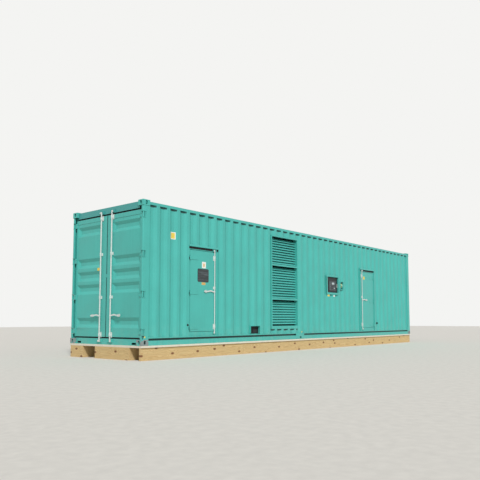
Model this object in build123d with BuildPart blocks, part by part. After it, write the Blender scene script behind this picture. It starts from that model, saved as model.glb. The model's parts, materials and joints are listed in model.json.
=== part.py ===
from build123d import *
import os

# Silent generator set in a 40 ft high-cube container, standing on timber packing.
# Millimetres. Origin: middle of the footprint, at the underside of the timber.
# X runs along the length with the pair of end doors at -X, the working side with
# the two personnel doors, the air louvre and the control window faces -Y, Z is up.

os.makedirs("parts", exist_ok=True)

# Timber packing
timber_height = 250
board_thickness = 40
side_timber_thickness = 45
side_timber_inset = 25
side_timber_gap = 6
side_timber_lengths = 4
baulk_width = 300
end_block_depth = 620
end_block_spans = ((30, 450), (920, 2070))
end_board_width = 260
long_board_width = 220
board_gap = 2

# Container envelope and corner castings
length = 12192
width = 2438
height = 2896
casting_length = 178
casting_width = 162
casting_height = 118
casting_wall = 28
slot_length = 124.5
slot_width = 63.5
slot_from_end = 103.5
slot_from_side = 89.5
side_slot_tall = 79
side_slot_wide = 52
side_slot_corner = 16

# Steel sections
plate = 6
sheet = 2
wall_inset = 8
frame_inset = 45
post_side_inset = 6
post_width = 92
post_stop = 28
post_neck = 22
post_fin_u = 8
post_bar_width = 54
post_bar_return = 26
post_bar_bend = 20
post_notch_clearance = 6
far_post_width = 110
sill_height = 125
header_height = 136
header_drop = 20
rail_height = 97
rail_depth = 48
rail_web_height = 55
rail_lip_low = 140
rail_lip_high = 164
rail_lip = 4
top_rail_height = 56
top_rail_depth = 60
top_rail_drop = 34
member_count = 19
member_height = 84
member_flange = 45
deck_thickness = 5
bearer_count = 5
bearer_pitch = 480
bearer_width = 40
bearer_wall = 4

# Corrugation of the long sides
side_pitch = 278.4
side_crest = 72
side_slope = 68
side_depth = 36
side_first_trough = 260
end_pitch = 250
end_flat = 60
end_troughs = 9
roof_pitch = 348
roof_first = 330
roof_count = 34
roof_depth = 20
roof_flat = 90
roof_slope = 30
roof_end_gap = 12

# Personnel doors
person_leaf_width = 790
person_leaf_height = 1750
person_leaf_bottom = 260
person_leaf_thickness = 60
person_leaf_inset = 28
leaf_skin = 3
core_gap = 1
person_door_1_edge = 1310
person_door_2_edge = 9500
person_gap = 8
stop_clearance = 6
stop_width = 24
frame_margin = 62
frame_free_margin = 90
frame_skin = 4
frame_rim = 16
frame_depth = 94
person_rod_inset = 45
person_pin_out = 14
person_pin_v = 9
person_pin_radius = 4.5
person_knuckle_radius = 8
strap_length = 240
strap_height = 70
strap_thickness = 6
strap_link = 16
strap_heights = (340, 1090, 1840)
hood_face = 1
hood_height = 36
person_rod_bottom = 205
person_rod_top = 2068
person_rod_radius = 11
person_rod_stand_off = 15
person_cam_length = 32
person_guide_heights = (360, 1215, 1880)
person_handle_z = 1130
door_glass_offset = 395
door_glass_height = 1475
door_glass_wide = 340
door_glass_tall = 290
door_glass_thickness = 5
door_glass_corner = 34
door_glass_lap = 25

# Cargo doors
cargo_gap = 24
cargo_side_gap = 5
cargo_leaf_inset = 47
cargo_leaf_thickness = 50
cargo_sill_gap = 32
cargo_header_gap = 32
cargo_frame_bar = 90
cargo_hinge_bar = 45
cargo_panel_inset = 6
cargo_press_depth = 36
cargo_press_height = 210
cargo_press_slope = 68
cargo_press_start = 4
cargo_press_length = 890
cargo_low_presses = (450, 1166, 1448, 1730)
cargo_top_press_drop = 268
cargo_rod_offset = 181
cargo_end_hinge_inset = 113
cargo_middle_hinges = (1010, 1810)
hinge_pin_radius = 7
hinge_knuckle_radius = 13
hinge_pin_clearance = 0.5
hinge_height = 110
hinge_pin_u = 24
hinge_pin_v = 15
blade_length = 138
blade_thickness = 12
lug_height = 12
lug_clearance = 4

# Lock gear
cargo_rod_radius = 15
cargo_rod_stand_off = 25
guide_clearance = 0.5
guide_height = 60
guide_width = 72
guide_base = 4
guide_wall = 4
handle_length = 330
handle_height = 30
handle_thickness = 10
cargo_rod_bottom = 56
cargo_rod_top_drop = 100
cargo_cam_length = 46
cargo_bar_guide_inset = 46
cargo_panel_guides = (980, 1890)
cargo_bridge_height = 60
cargo_bridge_z = 1430
cargo_bridge_reach = 16
cargo_handle_z = 600
cam_height = 38
catch_width = 46
catch_lip = 8
catch_gap = 5
keeper_clearance = 9
keeper_thickness = 10

# Louvre bank: openings one over the other, each with blades set back in it
louvre_left = 4115
louvre_right = 5265
louvre_bottom = 275
louvre_side_bar = 30
louvre_sill_bar = 80
louvre_top_bar = 30
louvre_middle_bar = 40
louvre_openings = (660, 825, 705)
louvre_depth = 118
louvre_skin = 4
louvre_inset = 4
end_louvre_half = 780
end_louvre_inset = 10
blade_pitch = 65
blade_setback = 62
blade_depth = 50
blade_rise = 56
blade_lip = 12
blade_sheet = 3
blade_head_gap = 100
blade_sill_gap = 8

# Plate over the bottom rail below the louvre
rail_plate_left = 5153
rail_plate_right = 5523
rail_plate_low = 14
rail_plate_inset = 2
lug_hole_place = 5362
lug_hole_height = 47
lug_hole_width = 60
lug_hole_tall = 40

# Control window, stop box and cable recess
window_left = 6730
window_right = 7325
window_bottom = 1292
window_top = 1746
window_flange = 54
window_skin = 4
window_depth = 90
panel_gap = 12
panel_thickness = 40
instrument_thickness = 8
instrument_wide = 360
instrument_tall = 280
instrument_place = 7050
instrument_height = 1492
handle_bar_place = 7265
handle_bar_height = 1500
handle_bar_tall = 110
handle_bar_width = 16
handle_bar_reach = 26
stop_left = 7430
stop_right = 7615
stop_bottom = 1400
stop_top = 1640
stop_rim = 16
stop_inset = 2
stop_depth = 70
stop_button_radius = 26
recess_left = 3303
recess_right = 3656
recess_bottom = 174
recess_top = 359
recess_rim = 4
recess_depth = 78

# Rubber buffers
buffer_1_place = 1234
buffer_2_place = 9726
buffer_height = 398
buffer_radius = 24
buffer_face = 1

# Acoustic lining
lining_thickness = 75
ceiling_lining_thickness = 60
lining_gap = 4
lining_clearance = 2

# Places that follow from the sizes above
base = timber_height + board_thickness
door_end = -length / 2
far_end = length / 2
front = -width / 2
back = width / 2
wall_bottom = rail_height + rail_web_height
wall_top = height - top_rail_drop - top_rail_height
deck_top = wall_bottom + deck_thickness
trough_flat = side_pitch - side_crest - 2 * side_slope
trough_count = 43
lining_front = wall_inset + side_depth + sheet
lining_back = lining_front + lining_thickness
louvre_height = (louvre_sill_bar + sum(louvre_openings) + louvre_top_bar
                 + louvre_middle_bar * (len(louvre_openings) - 1))
louvre_top = louvre_bottom + louvre_height
pan_left = window_left - window_skin
pan_right = window_right + window_skin
pan_bottom = window_bottom - window_skin
pan_top = window_top + window_skin
post_end = casting_length
door_end_section = casting_length - frame_inset
far_end_section = casting_length - post_side_inset
leaf_edge = post_width + cargo_side_gap
cargo_leaf_bottom = sill_height + cargo_sill_gap
cargo_leaf_top = height - header_drop - header_height - cargo_header_gap
cargo_rod_top = height - cargo_rod_top_drop
cargo_hinge_heights = (cargo_leaf_bottom + cargo_end_hinge_inset, *cargo_middle_hinges,
                       cargo_leaf_top - cargo_end_hinge_inset)
cargo_bar_guides = (cargo_leaf_bottom + cargo_bar_guide_inset, cargo_leaf_top - cargo_bar_guide_inset)
cargo_press_heights = (*cargo_low_presses, cargo_leaf_top - cargo_top_press_drop)
end_wall_inset = 34
end_lining_face = end_wall_inset + side_depth + sheet


def block(x, y, z, mode=Mode.ADD):
    """Add or cut the block that spans the three (low, high) pairs."""
    with Locations(((x[0] + x[1]) / 2, (y[0] + y[1]) / 2, (z[0] + z[1]) / 2)):
        Box(x[1] - x[0], y[1] - y[0], z[1] - z[0], mode=mode)


def side_block(s, v, z, side=-1, mode=Mode.ADD):
    """Block given by distance from the door end, depth behind a long side and height."""
    y = sorted((side * (width / 2 - v[0]), side * (width / 2 - v[1])))
    block((door_end + s[0], door_end + s[1]), y, (base + z[0], base + z[1]), mode)


def finish(piece, name):
    """Label a finished piece and write it."""
    piece.part.label = name
    export_step(piece.part, f"parts/{name}.step")


def plan_plane(side, inset, height_above_base):
    """Plan plane at a long side: x runs from the door end, y runs into the container."""
    down = 1 if side < 0 else -1
    origin = (door_end, side * (width / 2 - inset), base + height_above_base)
    return Plane(origin=origin, x_dir=(1, 0, 0), z_dir=(0, 0, down))


def depth_at(bends, place):
    """Depth of a bent line at a place along it."""
    for (x_low, y_low), (x_high, y_high) in zip(bends, bends[1:]):
        if x_low <= place <= x_high and x_high > x_low:
            return y_low + (y_high - y_low) * (place - x_low) / (x_high - x_low)
    return 0


def corrugation(start, end, first, count, pitch, slope, flat, depth):
    """Outer and inner line of a pressed sheet between two ends, which may cut through a trough."""
    half = flat / 2 + slope
    bends = [(start - pitch, 0)]
    for number in range(count):
        middle = first + number * pitch
        bends.append((middle - half, 0))
        bends.append((middle - flat / 2, depth))
        bends.append((middle + flat / 2, depth))
        bends.append((middle + half, 0))
    bends.append((end + pitch, 0))
    line = [(start, depth_at(bends, start))]
    line += [bend for bend in bends if start < bend[0] < end]
    line.append((end, depth_at(bends, end)))
    return line + [(x, y + sheet) for x, y in reversed(line)]


def side_sheet(start, end, bottom, top, side=-1):
    """Corrugated side sheet between two distances from the door end."""
    rise = top - bottom
    with BuildSketch(plan_plane(side, wall_inset, bottom if side < 0 else top)) as section:
        with BuildLine():
            outline = corrugation(start, end, side_first_trough, trough_count, side_pitch,
                                  side_slope, trough_flat, side_depth)
            Polyline(*outline, close=True)
        make_face()
    extrude(section.sketch, amount=rise)


# Timber packing: long boards on edge under both sides
with BuildPart() as side_timbers:
    run = length / side_timber_lengths
    for side in (-1, 1):
        for number in range(side_timber_lengths):
            side_block((number * run + side_timber_gap / 2, (number + 1) * run - side_timber_gap / 2),
                       (side_timber_inset, side_timber_inset + side_timber_thickness),
                       (-base, -board_thickness), side)
finish(side_timbers, "side_timbers")

# Timber packing: blocks under both ends and cross baulks between the long boards
timber_inside = side_timber_inset + side_timber_thickness
with BuildPart() as timber_blocks:
    for low, high in end_block_spans:
        for x0 in (door_end, far_end - end_block_depth):
            near = max(low, timber_inside)
            block((x0, x0 + end_block_depth), (back - near - (high - low), back - near), (0, timber_height))
    for number in range(3):
        middle = (number - 1) * length / 4
        block((middle - baulk_width / 2, middle + baulk_width / 2),
              (front + timber_inside, back - timber_inside), (0, timber_height))
finish(timber_blocks, "timber_blocks")

# Pale boards laid flat on the timber, which the container stands on
with BuildPart() as bearing_boards:
    for side in (-1, 1):
        side_block((0, length), (0, long_board_width), (-board_thickness, 0), side)
    cross = long_board_width + board_gap
    for low, high in ((0, end_board_width), (length - end_board_width, length)):
        block((door_end + low, door_end + high), (front + cross, back - cross), (timber_height, base))
    for number in range(3):
        middle = (number - 1) * length / 4
        block((middle - baulk_width / 2, middle + baulk_width / 2), (front + cross, back - cross),
              (timber_height, base))
finish(bearing_boards, "bearing_boards")


def corner_casting(x_side, y_side, z_side):
    """Hollow corner casting with its slots, one of the eight."""
    x_out = x_side * length / 2
    y_out = y_side * width / 2
    z_out = base + (height if z_side > 0 else 0)
    centre = (x_out - x_side * casting_length / 2, y_out - y_side * casting_width / 2,
              z_out - z_side * casting_height / 2)
    with BuildPart() as casting:
        Box(casting_length, casting_width, casting_height)
        Box(casting_length - 2 * casting_wall, casting_width - 2 * casting_wall,
            casting_height - 2 * casting_wall, mode=Mode.SUBTRACT)
        slot_x = x_side * (casting_length / 2 - slot_from_end)
        slot_y = y_side * (casting_width / 2 - slot_from_side)
        with BuildSketch(Plane.XY.offset(z_side * casting_height / 2)):
            with Locations((slot_x, slot_y)):
                SlotOverall(slot_length, slot_width)
        extrude(amount=-z_side * casting_wall * 1.5, mode=Mode.SUBTRACT)
        with BuildSketch(Plane.XZ.offset(-y_side * casting_width / 2)) as side_slot:
            Rectangle(side_slot_wide, side_slot_tall)
            chamfer(side_slot.vertices(), side_slot_corner)
        extrude(amount=y_side * casting_wall * 1.5, mode=Mode.SUBTRACT)
        with BuildSketch(Plane.YZ.offset(x_side * casting_length / 2)) as end_slot:
            Rectangle(side_slot_wide, side_slot_tall)
            chamfer(end_slot.vertices(), side_slot_corner)
        extrude(amount=-x_side * casting_wall * 1.5, mode=Mode.SUBTRACT)
    return casting.part.moved(Location(centre))


# Corner castings
corners = [(x_side, y_side) for x_side in (-1, 1) for y_side in (-1, 1)]
bottom_set = [corner_casting(x_side, y_side, -1) for x_side, y_side in corners]
top_set = [corner_casting(x_side, y_side, 1) for x_side, y_side in corners]

with BuildPart() as bottom_castings:
    add(bottom_set)
finish(bottom_castings, "bottom_castings")

with BuildPart() as top_castings:
    add(top_set)
finish(top_castings, "top_castings")


def hinge_lugs(pin_plane, pin_radius, reach, half_width, heights, pin_height, to_wall):
    """Pairs of lugs with a pin between them, at each height on a fixed post."""
    lug_size = [reach + half_width if along else 2 * half_width for along in to_wall]
    lug_middle = (to_wall[0] * (reach - half_width) / 2, to_wall[1] * (reach - half_width) / 2)
    for middle in heights:
        inner_low = middle - pin_height / 2 - lug_clearance
        inner_high = middle + pin_height / 2 + lug_clearance
        with BuildSketch(pin_plane.offset(inner_low)) as pin:
            Circle(pin_radius)
        extrude(pin.sketch, amount=inner_high - inner_low)
        for low in (inner_low - lug_height, inner_high):
            with BuildSketch(pin_plane.offset(low)) as lug:
                with Locations(lug_middle):
                    Rectangle(*lug_size)
            extrude(lug.sketch, amount=lug_height)


# Door end posts with the lugs and pins of the cargo door hinges
with BuildPart() as door_end_posts:
    stop_u = cargo_leaf_inset + cargo_leaf_thickness + cargo_side_gap
    post_front = stop_u - post_neck
    with BuildSketch(plan_plane(-1, 0, casting_height)):
        with BuildLine():
            Polyline((post_front, post_side_inset), (post_end, post_side_inset), (post_end, 60),
                     (stop_u + 26, post_width + post_stop), (stop_u, post_width + post_stop),
                     (stop_u, post_width), (post_front, post_width), close=True)
        make_face()
        offset(amount=-plate, mode=Mode.SUBTRACT)
    extrude(amount=height - 2 * casting_height)
    # Bent bar that carries the corner of the post out past the pins, cut away at each hinge
    bar_out = post_side_inset + post_bar_width
    bar_back = post_fin_u + post_bar_return
    with BuildSketch(plan_plane(-1, 0, casting_height)) as bent_bar:
        with BuildLine():
            Polyline((post_front, post_side_inset), (post_fin_u, post_side_inset), (post_fin_u, bar_out),
                     (bar_back, bar_out), (bar_back, bar_out - plate), (post_fin_u + plate, bar_out - plate),
                     (post_fin_u + plate, post_side_inset + plate), (post_front, post_side_inset + plate),
                     close=True)
        make_face()
        outer_corner = (post_fin_u, post_side_inset)
        inner_corner = (post_fin_u + plate, post_side_inset + plate)
        fillet(bent_bar.vertices().sort_by_distance(outer_corner)[0], post_bar_bend)
        fillet(bent_bar.vertices().sort_by_distance(inner_corner)[0], post_bar_bend - plate)
    extrude(bent_bar.sketch, amount=height - 2 * casting_height)
    notch = hinge_height / 2 + post_notch_clearance
    for z in cargo_hinge_heights:
        side_block((post_fin_u - 1, post_front - plate), (0, bar_out + 1), (z - notch, z + notch),
                   mode=Mode.SUBTRACT)
    pin_plane = Plane(origin=(door_end + hinge_pin_u, front + hinge_pin_v, base))
    hinge_lugs(pin_plane, hinge_pin_radius, post_front - hinge_pin_u, hinge_knuckle_radius,
               cargo_hinge_heights, hinge_height, (1, 0))
    mirror(about=Plane.XZ)
finish(door_end_posts, "door_end_posts")

# Far end posts
with BuildPart() as far_end_posts:
    for side in (-1, 1):
        x = far_end - post_side_inset - far_end_section / 2
        y = side * (width / 2 - post_side_inset - far_post_width / 2)
        with BuildSketch(Plane(origin=(x, y, base + casting_height))):
            Rectangle(far_end_section, far_post_width)
            Rectangle(far_end_section - 2 * plate, far_post_width - 2 * plate, mode=Mode.SUBTRACT)
        extrude(amount=height - 2 * casting_height)
finish(far_end_posts, "far_end_posts")


def cross_section(near_x, depth, low, high):
    """Hollow box section across the container between the castings."""
    half = width / 2 - casting_width
    start = (near_x + depth / 2, half, base + (low + high) / 2)
    with BuildSketch(Plane(origin=start, x_dir=(1, 0, 0), z_dir=(0, -1, 0))) as section:
        Rectangle(depth, high - low)
        Rectangle(depth - 2 * plate, high - low - 2 * plate, mode=Mode.SUBTRACT)
    extrude(section.sketch, amount=2 * half)


def keepers(low, high, rod_places):
    """Side lips that guard the cam of each lock rod on a sill or header."""
    for y in rod_places:
        for side in (-1, 1):
            near = y + side * (cargo_cam_length + keeper_clearance)
            block((door_end + 8, door_end + frame_inset), sorted((near, near + side * keeper_thickness)),
                  (base + low, base + high))


rod_places = (-cargo_rod_offset, cargo_rod_offset)

# Sill under the cargo doors, with its two pockets
with BuildPart() as door_sill:
    cross_section(door_end + frame_inset, door_end_section, 0, sill_height)
    for side in (-1, 1):
        pocket = sorted((side * (width / 2 - 222), side * (width / 2 - 350)))
        through = (door_end + frame_inset - 1, door_end + frame_inset + plate + 1)
        block(through, pocket, (base + 16, base + 56), Mode.SUBTRACT)
    keepers(52, 108, rod_places)
finish(door_sill, "door_sill")

# Header over the cargo doors
with BuildPart() as door_header:
    header_low = height - header_drop - header_height
    cross_section(door_end + frame_inset, door_end_section, header_low, height - header_drop)
    keepers(header_low + 12, header_low + 70, rod_places)
finish(door_header, "door_header")

# Bottom and top rails across the far end
with BuildPart() as far_end_rails:
    rail_x = far_end - casting_length
    cross_section(rail_x, far_end_section, 0, casting_height)
    cross_section(rail_x, far_end_section, height - casting_height, height - header_drop)
finish(far_end_rails, "far_end_rails")

# Bottom rails: a box band, a set-back web and the ledge with a lip that the wall stands on
lug_hole_span = (lug_hole_place - lug_hole_width / 2, lug_hole_place + lug_hole_width / 2)
lug_hole_rise = (lug_hole_height - lug_hole_tall / 2, lug_hole_height + lug_hole_tall / 2)
with BuildPart() as bottom_rails:
    band_in = post_side_inset + rail_depth
    web_in = wall_inset + side_depth
    web_out = web_in - plate
    rail_start = (door_end + casting_length, front, base)
    with BuildSketch(Plane(origin=rail_start, x_dir=(0, 1, 0), z_dir=(1, 0, 0))):
        with BuildLine():
            Polyline((post_side_inset, 0), (band_in, 0), (band_in, rail_height - plate),
                     (web_in, rail_height - plate), (web_in, wall_bottom), (wall_inset, wall_bottom),
                     (wall_inset, rail_lip_high), (wall_inset - rail_lip, rail_lip_high),
                     (wall_inset - rail_lip, rail_lip_low), (wall_inset, rail_lip_low),
                     (wall_inset, wall_bottom - plate), (web_out, wall_bottom - plate),
                     (web_out, rail_height), (post_side_inset, rail_height), close=True)
        make_face()
        with Locations((post_side_inset + rail_depth / 2, rail_height / 2)):
            Rectangle(rail_depth - 2 * plate, rail_height - 4 * plate, mode=Mode.SUBTRACT)
    extrude(amount=length - 2 * casting_length)
    side_block(lug_hole_span, (0, post_side_inset + plate + 1), lug_hole_rise, mode=Mode.SUBTRACT)
    side_block((rail_plate_left, rail_plate_right), (0, wall_inset), (rail_lip_low - 1, rail_lip_high + 1),
               mode=Mode.SUBTRACT)
    mirror(about=Plane.XZ)
finish(bottom_rails, "bottom_rails")

# Top rails
with BuildPart() as top_rails:
    rail_start = (door_end + casting_length, front + wall_inset, base + wall_top)
    with BuildSketch(Plane(origin=rail_start, x_dir=(0, 1, 0), z_dir=(1, 0, 0))):
        with Locations((top_rail_depth / 2, top_rail_height / 2)):
            Rectangle(top_rail_depth, top_rail_height)
            Rectangle(top_rail_depth - 2 * plate, top_rail_height - 2 * plate, mode=Mode.SUBTRACT)
    extrude(amount=length - 2 * casting_length)
    mirror(about=Plane.XZ)
finish(top_rails, "top_rails")

# Cross members under the deck
with BuildPart() as cross_members:
    inner = width / 2 - post_side_inset - rail_depth
    clear = length - 2 * casting_length - member_flange
    for number in range(member_count):
        x = door_end + casting_length + (number + 0.5) * clear / member_count
        with BuildSketch(Plane(origin=(x, -inner, base + rail_height - plate - member_height),
                               x_dir=(-1, 0, 0), z_dir=(0, 1, 0))):
            with BuildLine():
                Polyline((0, 0), (member_flange, 0), (member_flange, plate), (plate, plate),
                         (plate, member_height - plate), (member_flange, member_height - plate),
                         (member_flange, member_height), (0, member_height), close=True)
            make_face()
        extrude(amount=2 * inner)
finish(cross_members, "cross_members")

# Floor deck: a plate on bearers that stand on the cross members
with BuildPart() as floor_deck:
    deck_in = person_leaf_inset + frame_depth + 2
    start = door_end + casting_length
    end = far_end - casting_length
    block((start, end), (front + deck_in, back - deck_in), (base + wall_bottom, base + deck_top))
    bearer_tall = wall_bottom - rail_height + plate
    for number in range(bearer_count):
        y = (number - (bearer_count - 1) / 2) * bearer_pitch
        middle = (start, y, base + wall_bottom - bearer_tall / 2)
        with BuildSketch(Plane(origin=middle, x_dir=(0, 1, 0), z_dir=(1, 0, 0))):
            Rectangle(bearer_width, bearer_tall)
            Rectangle(bearer_width - 2 * bearer_wall, bearer_tall - 2 * bearer_wall, mode=Mode.SUBTRACT)
        extrude(amount=end - start)
finish(floor_deck, "floor_deck")


def pressed_trough(long, wide, depth, slope):
    """Trough with four flat sloping sides: long along x, wide along y and deep along z."""
    with BuildPart(mode=Mode.PRIVATE) as trough:
        for side, across, along, mode in ((Plane.XZ, long, wide, Mode.ADD),
                                          (Plane.YZ, wide, long, Mode.INTERSECT)):
            half = across / 2
            with BuildSketch(side):
                with BuildLine():
                    Polyline((-half, 0), (half, 0), (half - slope, depth), (slope - half, depth), close=True)
                make_face()
            extrude(amount=along / 2, both=True, mode=mode)
    return trough.part


# Roof sheet on the top rails, with troughs pressed down between them
roof_trough_long = width - 2 * (wall_inset + top_rail_depth + roof_end_gap)
roof_trough = pressed_trough(roof_flat + 2 * roof_slope, roof_trough_long, roof_depth, roof_slope)
upside_down = (180, 0, 0)

with BuildPart() as roof_sheet:
    roof_level = base + wall_top + top_rail_height + sheet
    roof_side = width / 2 - wall_inset
    block((door_end + casting_length, far_end - casting_length), (-roof_side, roof_side),
          (roof_level - sheet, roof_level))
    troughs = [door_end + roof_first + number * roof_pitch for number in range(roof_count)]
    for level, mode in ((roof_level - sheet, Mode.ADD), (roof_level, Mode.SUBTRACT)):
        with Locations([Location((x, 0, level), upside_down) for x in troughs]):
            add(roof_trough, mode=mode)
finish(roof_sheet, "roof_sheet")

# Openings in the front wall, as distances from the door end
door_1 = (person_door_1_edge, person_door_1_edge + person_leaf_width)
door_2 = (person_door_2_edge - person_leaf_width, person_door_2_edge)
frame_1 = (door_1[0] - frame_margin, door_1[1] + frame_free_margin)
frame_2 = (door_2[0] - frame_free_margin, door_2[1] + frame_margin)
frame_top = person_leaf_bottom + person_leaf_height + frame_margin + 46
wall_start = post_end
wall_end = length - casting_length

# Front wall sheets
with BuildPart() as front_wall_door_bay:
    side_sheet(wall_start, frame_1[0], wall_bottom, wall_top)
finish(front_wall_door_bay, "front_wall_door_bay")

with BuildPart() as front_wall_louvre_bay:
    side_sheet(frame_1[1], louvre_left, wall_bottom, wall_top)
    side_block((recess_left, recess_right), (0, 60), (recess_bottom, recess_top), mode=Mode.SUBTRACT)
    side_sheet(louvre_left, louvre_right, wall_bottom, louvre_bottom)
    side_sheet(louvre_left, louvre_right, louvre_top, wall_top)
finish(front_wall_louvre_bay, "front_wall_louvre_bay")

with BuildPart() as front_wall_control_bay:
    side_sheet(louvre_right, frame_2[0], wall_bottom, wall_top)
    side_block((pan_left, pan_right), (0, 60), (pan_bottom, pan_top), mode=Mode.SUBTRACT)
    side_block((stop_left, stop_right), (0, 60), (stop_bottom, stop_top), mode=Mode.SUBTRACT)
finish(front_wall_control_bay, "front_wall_control_bay")

with BuildPart() as front_wall_far_bay:
    side_sheet(frame_2[1], wall_end, wall_bottom, wall_top)
finish(front_wall_far_bay, "front_wall_far_bay")

with BuildPart() as over_door_panels:
    for low, high in (frame_1, frame_2):
        side_sheet(low, high, frame_top, wall_top)
finish(over_door_panels, "over_door_panels")

# Plate over the joint of the bottom rail on both sides
with BuildPart() as rail_joint_plates:
    for side in (-1, 1):
        side_block((rail_plate_left, rail_plate_right), (rail_plate_inset, post_side_inset),
                   (rail_plate_low, wall_bottom), side)
        side_block(lug_hole_span, (0, post_side_inset), lug_hole_rise, side, mode=Mode.SUBTRACT)
finish(rail_joint_plates, "rail_joint_plates")

# Back wall: the same sheet, interrupted by its louvre
with BuildPart() as back_wall:
    side_sheet(wall_start, louvre_left, wall_bottom, wall_top, 1)
    side_sheet(louvre_left, louvre_right, wall_bottom, louvre_bottom, 1)
    side_sheet(louvre_left, louvre_right, louvre_top, wall_top, 1)
    side_sheet(louvre_right, wall_end, wall_bottom, wall_top, 1)
finish(back_wall, "back_wall")

# Far end wall with the opening of the discharge louvre
with BuildPart() as far_end_wall:
    half = width / 2 - post_side_inset - far_post_width
    first = -(end_troughs - 1) / 2 * end_pitch
    wall_foot = (far_end - end_wall_inset, 0, base + casting_height)
    with BuildSketch(Plane(origin=wall_foot, x_dir=(0, 1, 0), z_dir=(0, 0, 1))):
        with BuildLine():
            outline = corrugation(-half, half, first, end_troughs, end_pitch, side_slope, end_flat,
                                  side_depth)
            Polyline(*outline, close=True)
        make_face()
    extrude(amount=height - 2 * casting_height)
    block((far_end - 120, far_end), (-end_louvre_half, end_louvre_half),
          (base + louvre_bottom, base + louvre_top), Mode.SUBTRACT)
finish(far_end_wall, "far_end_wall")


def louvre_bank(plane, wide):
    """Framed louvre bank: x runs across, y up and z out of the wall from its frame face."""
    clear = wide - 2 * louvre_side_bar
    spans = []
    low = louvre_sill_bar
    for tall in louvre_openings:
        spans.append((low, low + tall))
        low = low + tall + louvre_middle_bar
    # Face of the frame
    with BuildSketch(plane) as face:
        with Locations((wide / 2, louvre_height / 2)):
            Rectangle(wide, louvre_height)
        for low, high in spans:
            with Locations((wide / 2, (low + high) / 2)):
                Rectangle(clear, high - low, mode=Mode.SUBTRACT)
    extrude(face.sketch, amount=-louvre_skin)
    # Outer edge of the frame and the reveal of each opening
    with BuildSketch(plane) as edges:
        with Locations((wide / 2, louvre_height / 2)):
            Rectangle(wide, louvre_height)
            Rectangle(wide - 2 * louvre_skin, louvre_height - 2 * louvre_skin, mode=Mode.SUBTRACT)
        for low, high in spans:
            with Locations((wide / 2, (low + high) / 2)):
                Rectangle(clear + 2 * louvre_skin, high - low + 2 * louvre_skin)
                Rectangle(clear, high - low, mode=Mode.SUBTRACT)
    extrude(edges.sketch, amount=-louvre_depth)
    # Blades, hung down from the head of each opening
    end_plane = Plane(origin=plane.origin + plane.x_dir * (louvre_side_bar - louvre_skin / 2),
                      x_dir=-plane.z_dir, z_dir=plane.x_dir)
    for low, high in spans:
        blades = int((high - low - blade_head_gap - blade_sill_gap) / blade_pitch) + 1
        for number in range(blades):
            z = high - blade_head_gap - number * blade_pitch
            near = blade_setback
            far = blade_setback + blade_depth
            with BuildSketch(end_plane) as blade:
                with BuildLine():
                    Polyline((near, z), (near, z + blade_lip), (far, z + blade_lip + blade_rise),
                             (far, z + blade_lip + blade_rise - 1.4 * blade_sheet),
                             (near + blade_sheet, z + blade_lip - blade_sheet / 2), (near + blade_sheet, z),
                             close=True)
                make_face()
            extrude(blade.sketch, amount=clear + louvre_skin)


# Louvre banks
with BuildPart() as louvre_front:
    louvre_bank(Plane(origin=(door_end + louvre_left, front + louvre_inset, base + louvre_bottom),
                      x_dir=(1, 0, 0), z_dir=(0, -1, 0)), louvre_right - louvre_left)
finish(louvre_front, "louvre_front")

with BuildPart() as louvre_back:
    louvre_bank(Plane(origin=(door_end + louvre_right, back - louvre_inset, base + louvre_bottom),
                      x_dir=(-1, 0, 0), z_dir=(0, 1, 0)), louvre_right - louvre_left)
finish(louvre_back, "louvre_back")

with BuildPart() as louvre_far_end:
    louvre_bank(Plane(origin=(far_end - end_louvre_inset, -end_louvre_half, base + louvre_bottom),
                      x_dir=(0, 1, 0), z_dir=(1, 0, 0)), 2 * end_louvre_half)
finish(louvre_far_end, "louvre_far_end")


def door_frame(span, leaf, hinge_side):
    """Recessed frame round a personnel door, with leaf stop, hinge lugs and cam keepers."""
    opening = (leaf[0] - person_gap, leaf[1] + person_gap)
    low = person_leaf_bottom - person_gap
    high = person_leaf_bottom + person_leaf_height + person_gap
    face = person_leaf_inset
    side_block(span, (wall_inset, face + frame_depth), (wall_bottom, frame_top))
    side_block((span[0] + frame_rim, span[1] - frame_rim), (0, face), (wall_bottom - 1, frame_top + 1),
               mode=Mode.SUBTRACT)
    rear = (face + frame_skin, face + frame_depth)
    side_block((span[0] + frame_skin, span[1] - frame_skin), rear,
               (wall_bottom + frame_skin, frame_top - frame_skin), mode=Mode.SUBTRACT)
    side_block((opening[0] - frame_skin, opening[1] + frame_skin), rear,
               (low - frame_skin, high + frame_skin))
    side_block(opening, (0, face + frame_depth), (low, high), mode=Mode.SUBTRACT)
    stop_v = face + person_leaf_thickness + stop_clearance
    side_block((opening[0] - 1, opening[1] + 1), (stop_v, stop_v + plate), (low - 1, high + 1))
    side_block((opening[0] + stop_width, opening[1] - stop_width), (0, 200),
               (low + stop_width, high - stop_width), mode=Mode.SUBTRACT)
    edge = leaf[0] if hinge_side < 0 else leaf[1]
    pin_x = door_end + edge + hinge_side * person_pin_out
    reach = person_leaf_inset - person_pin_v + 1
    hinge_lugs(Plane(origin=(pin_x, front + person_pin_v, base)), person_pin_radius, reach,
               person_knuckle_radius, strap_heights, strap_height, (0, 1))
    free = leaf[1] if hinge_side < 0 else leaf[0]
    rod_s = free + hinge_side * person_rod_inset
    for side in (-1, 1):
        near = rod_s + side * (person_cam_length + keeper_clearance)
        across = sorted((near, near + side * keeper_thickness))
        side_block(across, (4, face + 1), (person_rod_bottom - 4, person_rod_bottom + cam_height + 4))
        side_block(across, (4, face + 1), (person_rod_top - cam_height - 4, person_rod_top + 4))


with BuildPart() as door_frame_1:
    door_frame(frame_1, door_1, -1)
finish(door_frame_1, "door_frame_1")

with BuildPart() as door_frame_2:
    door_frame(frame_2, door_2, 1)
finish(door_frame_2, "door_frame_2")

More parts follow.
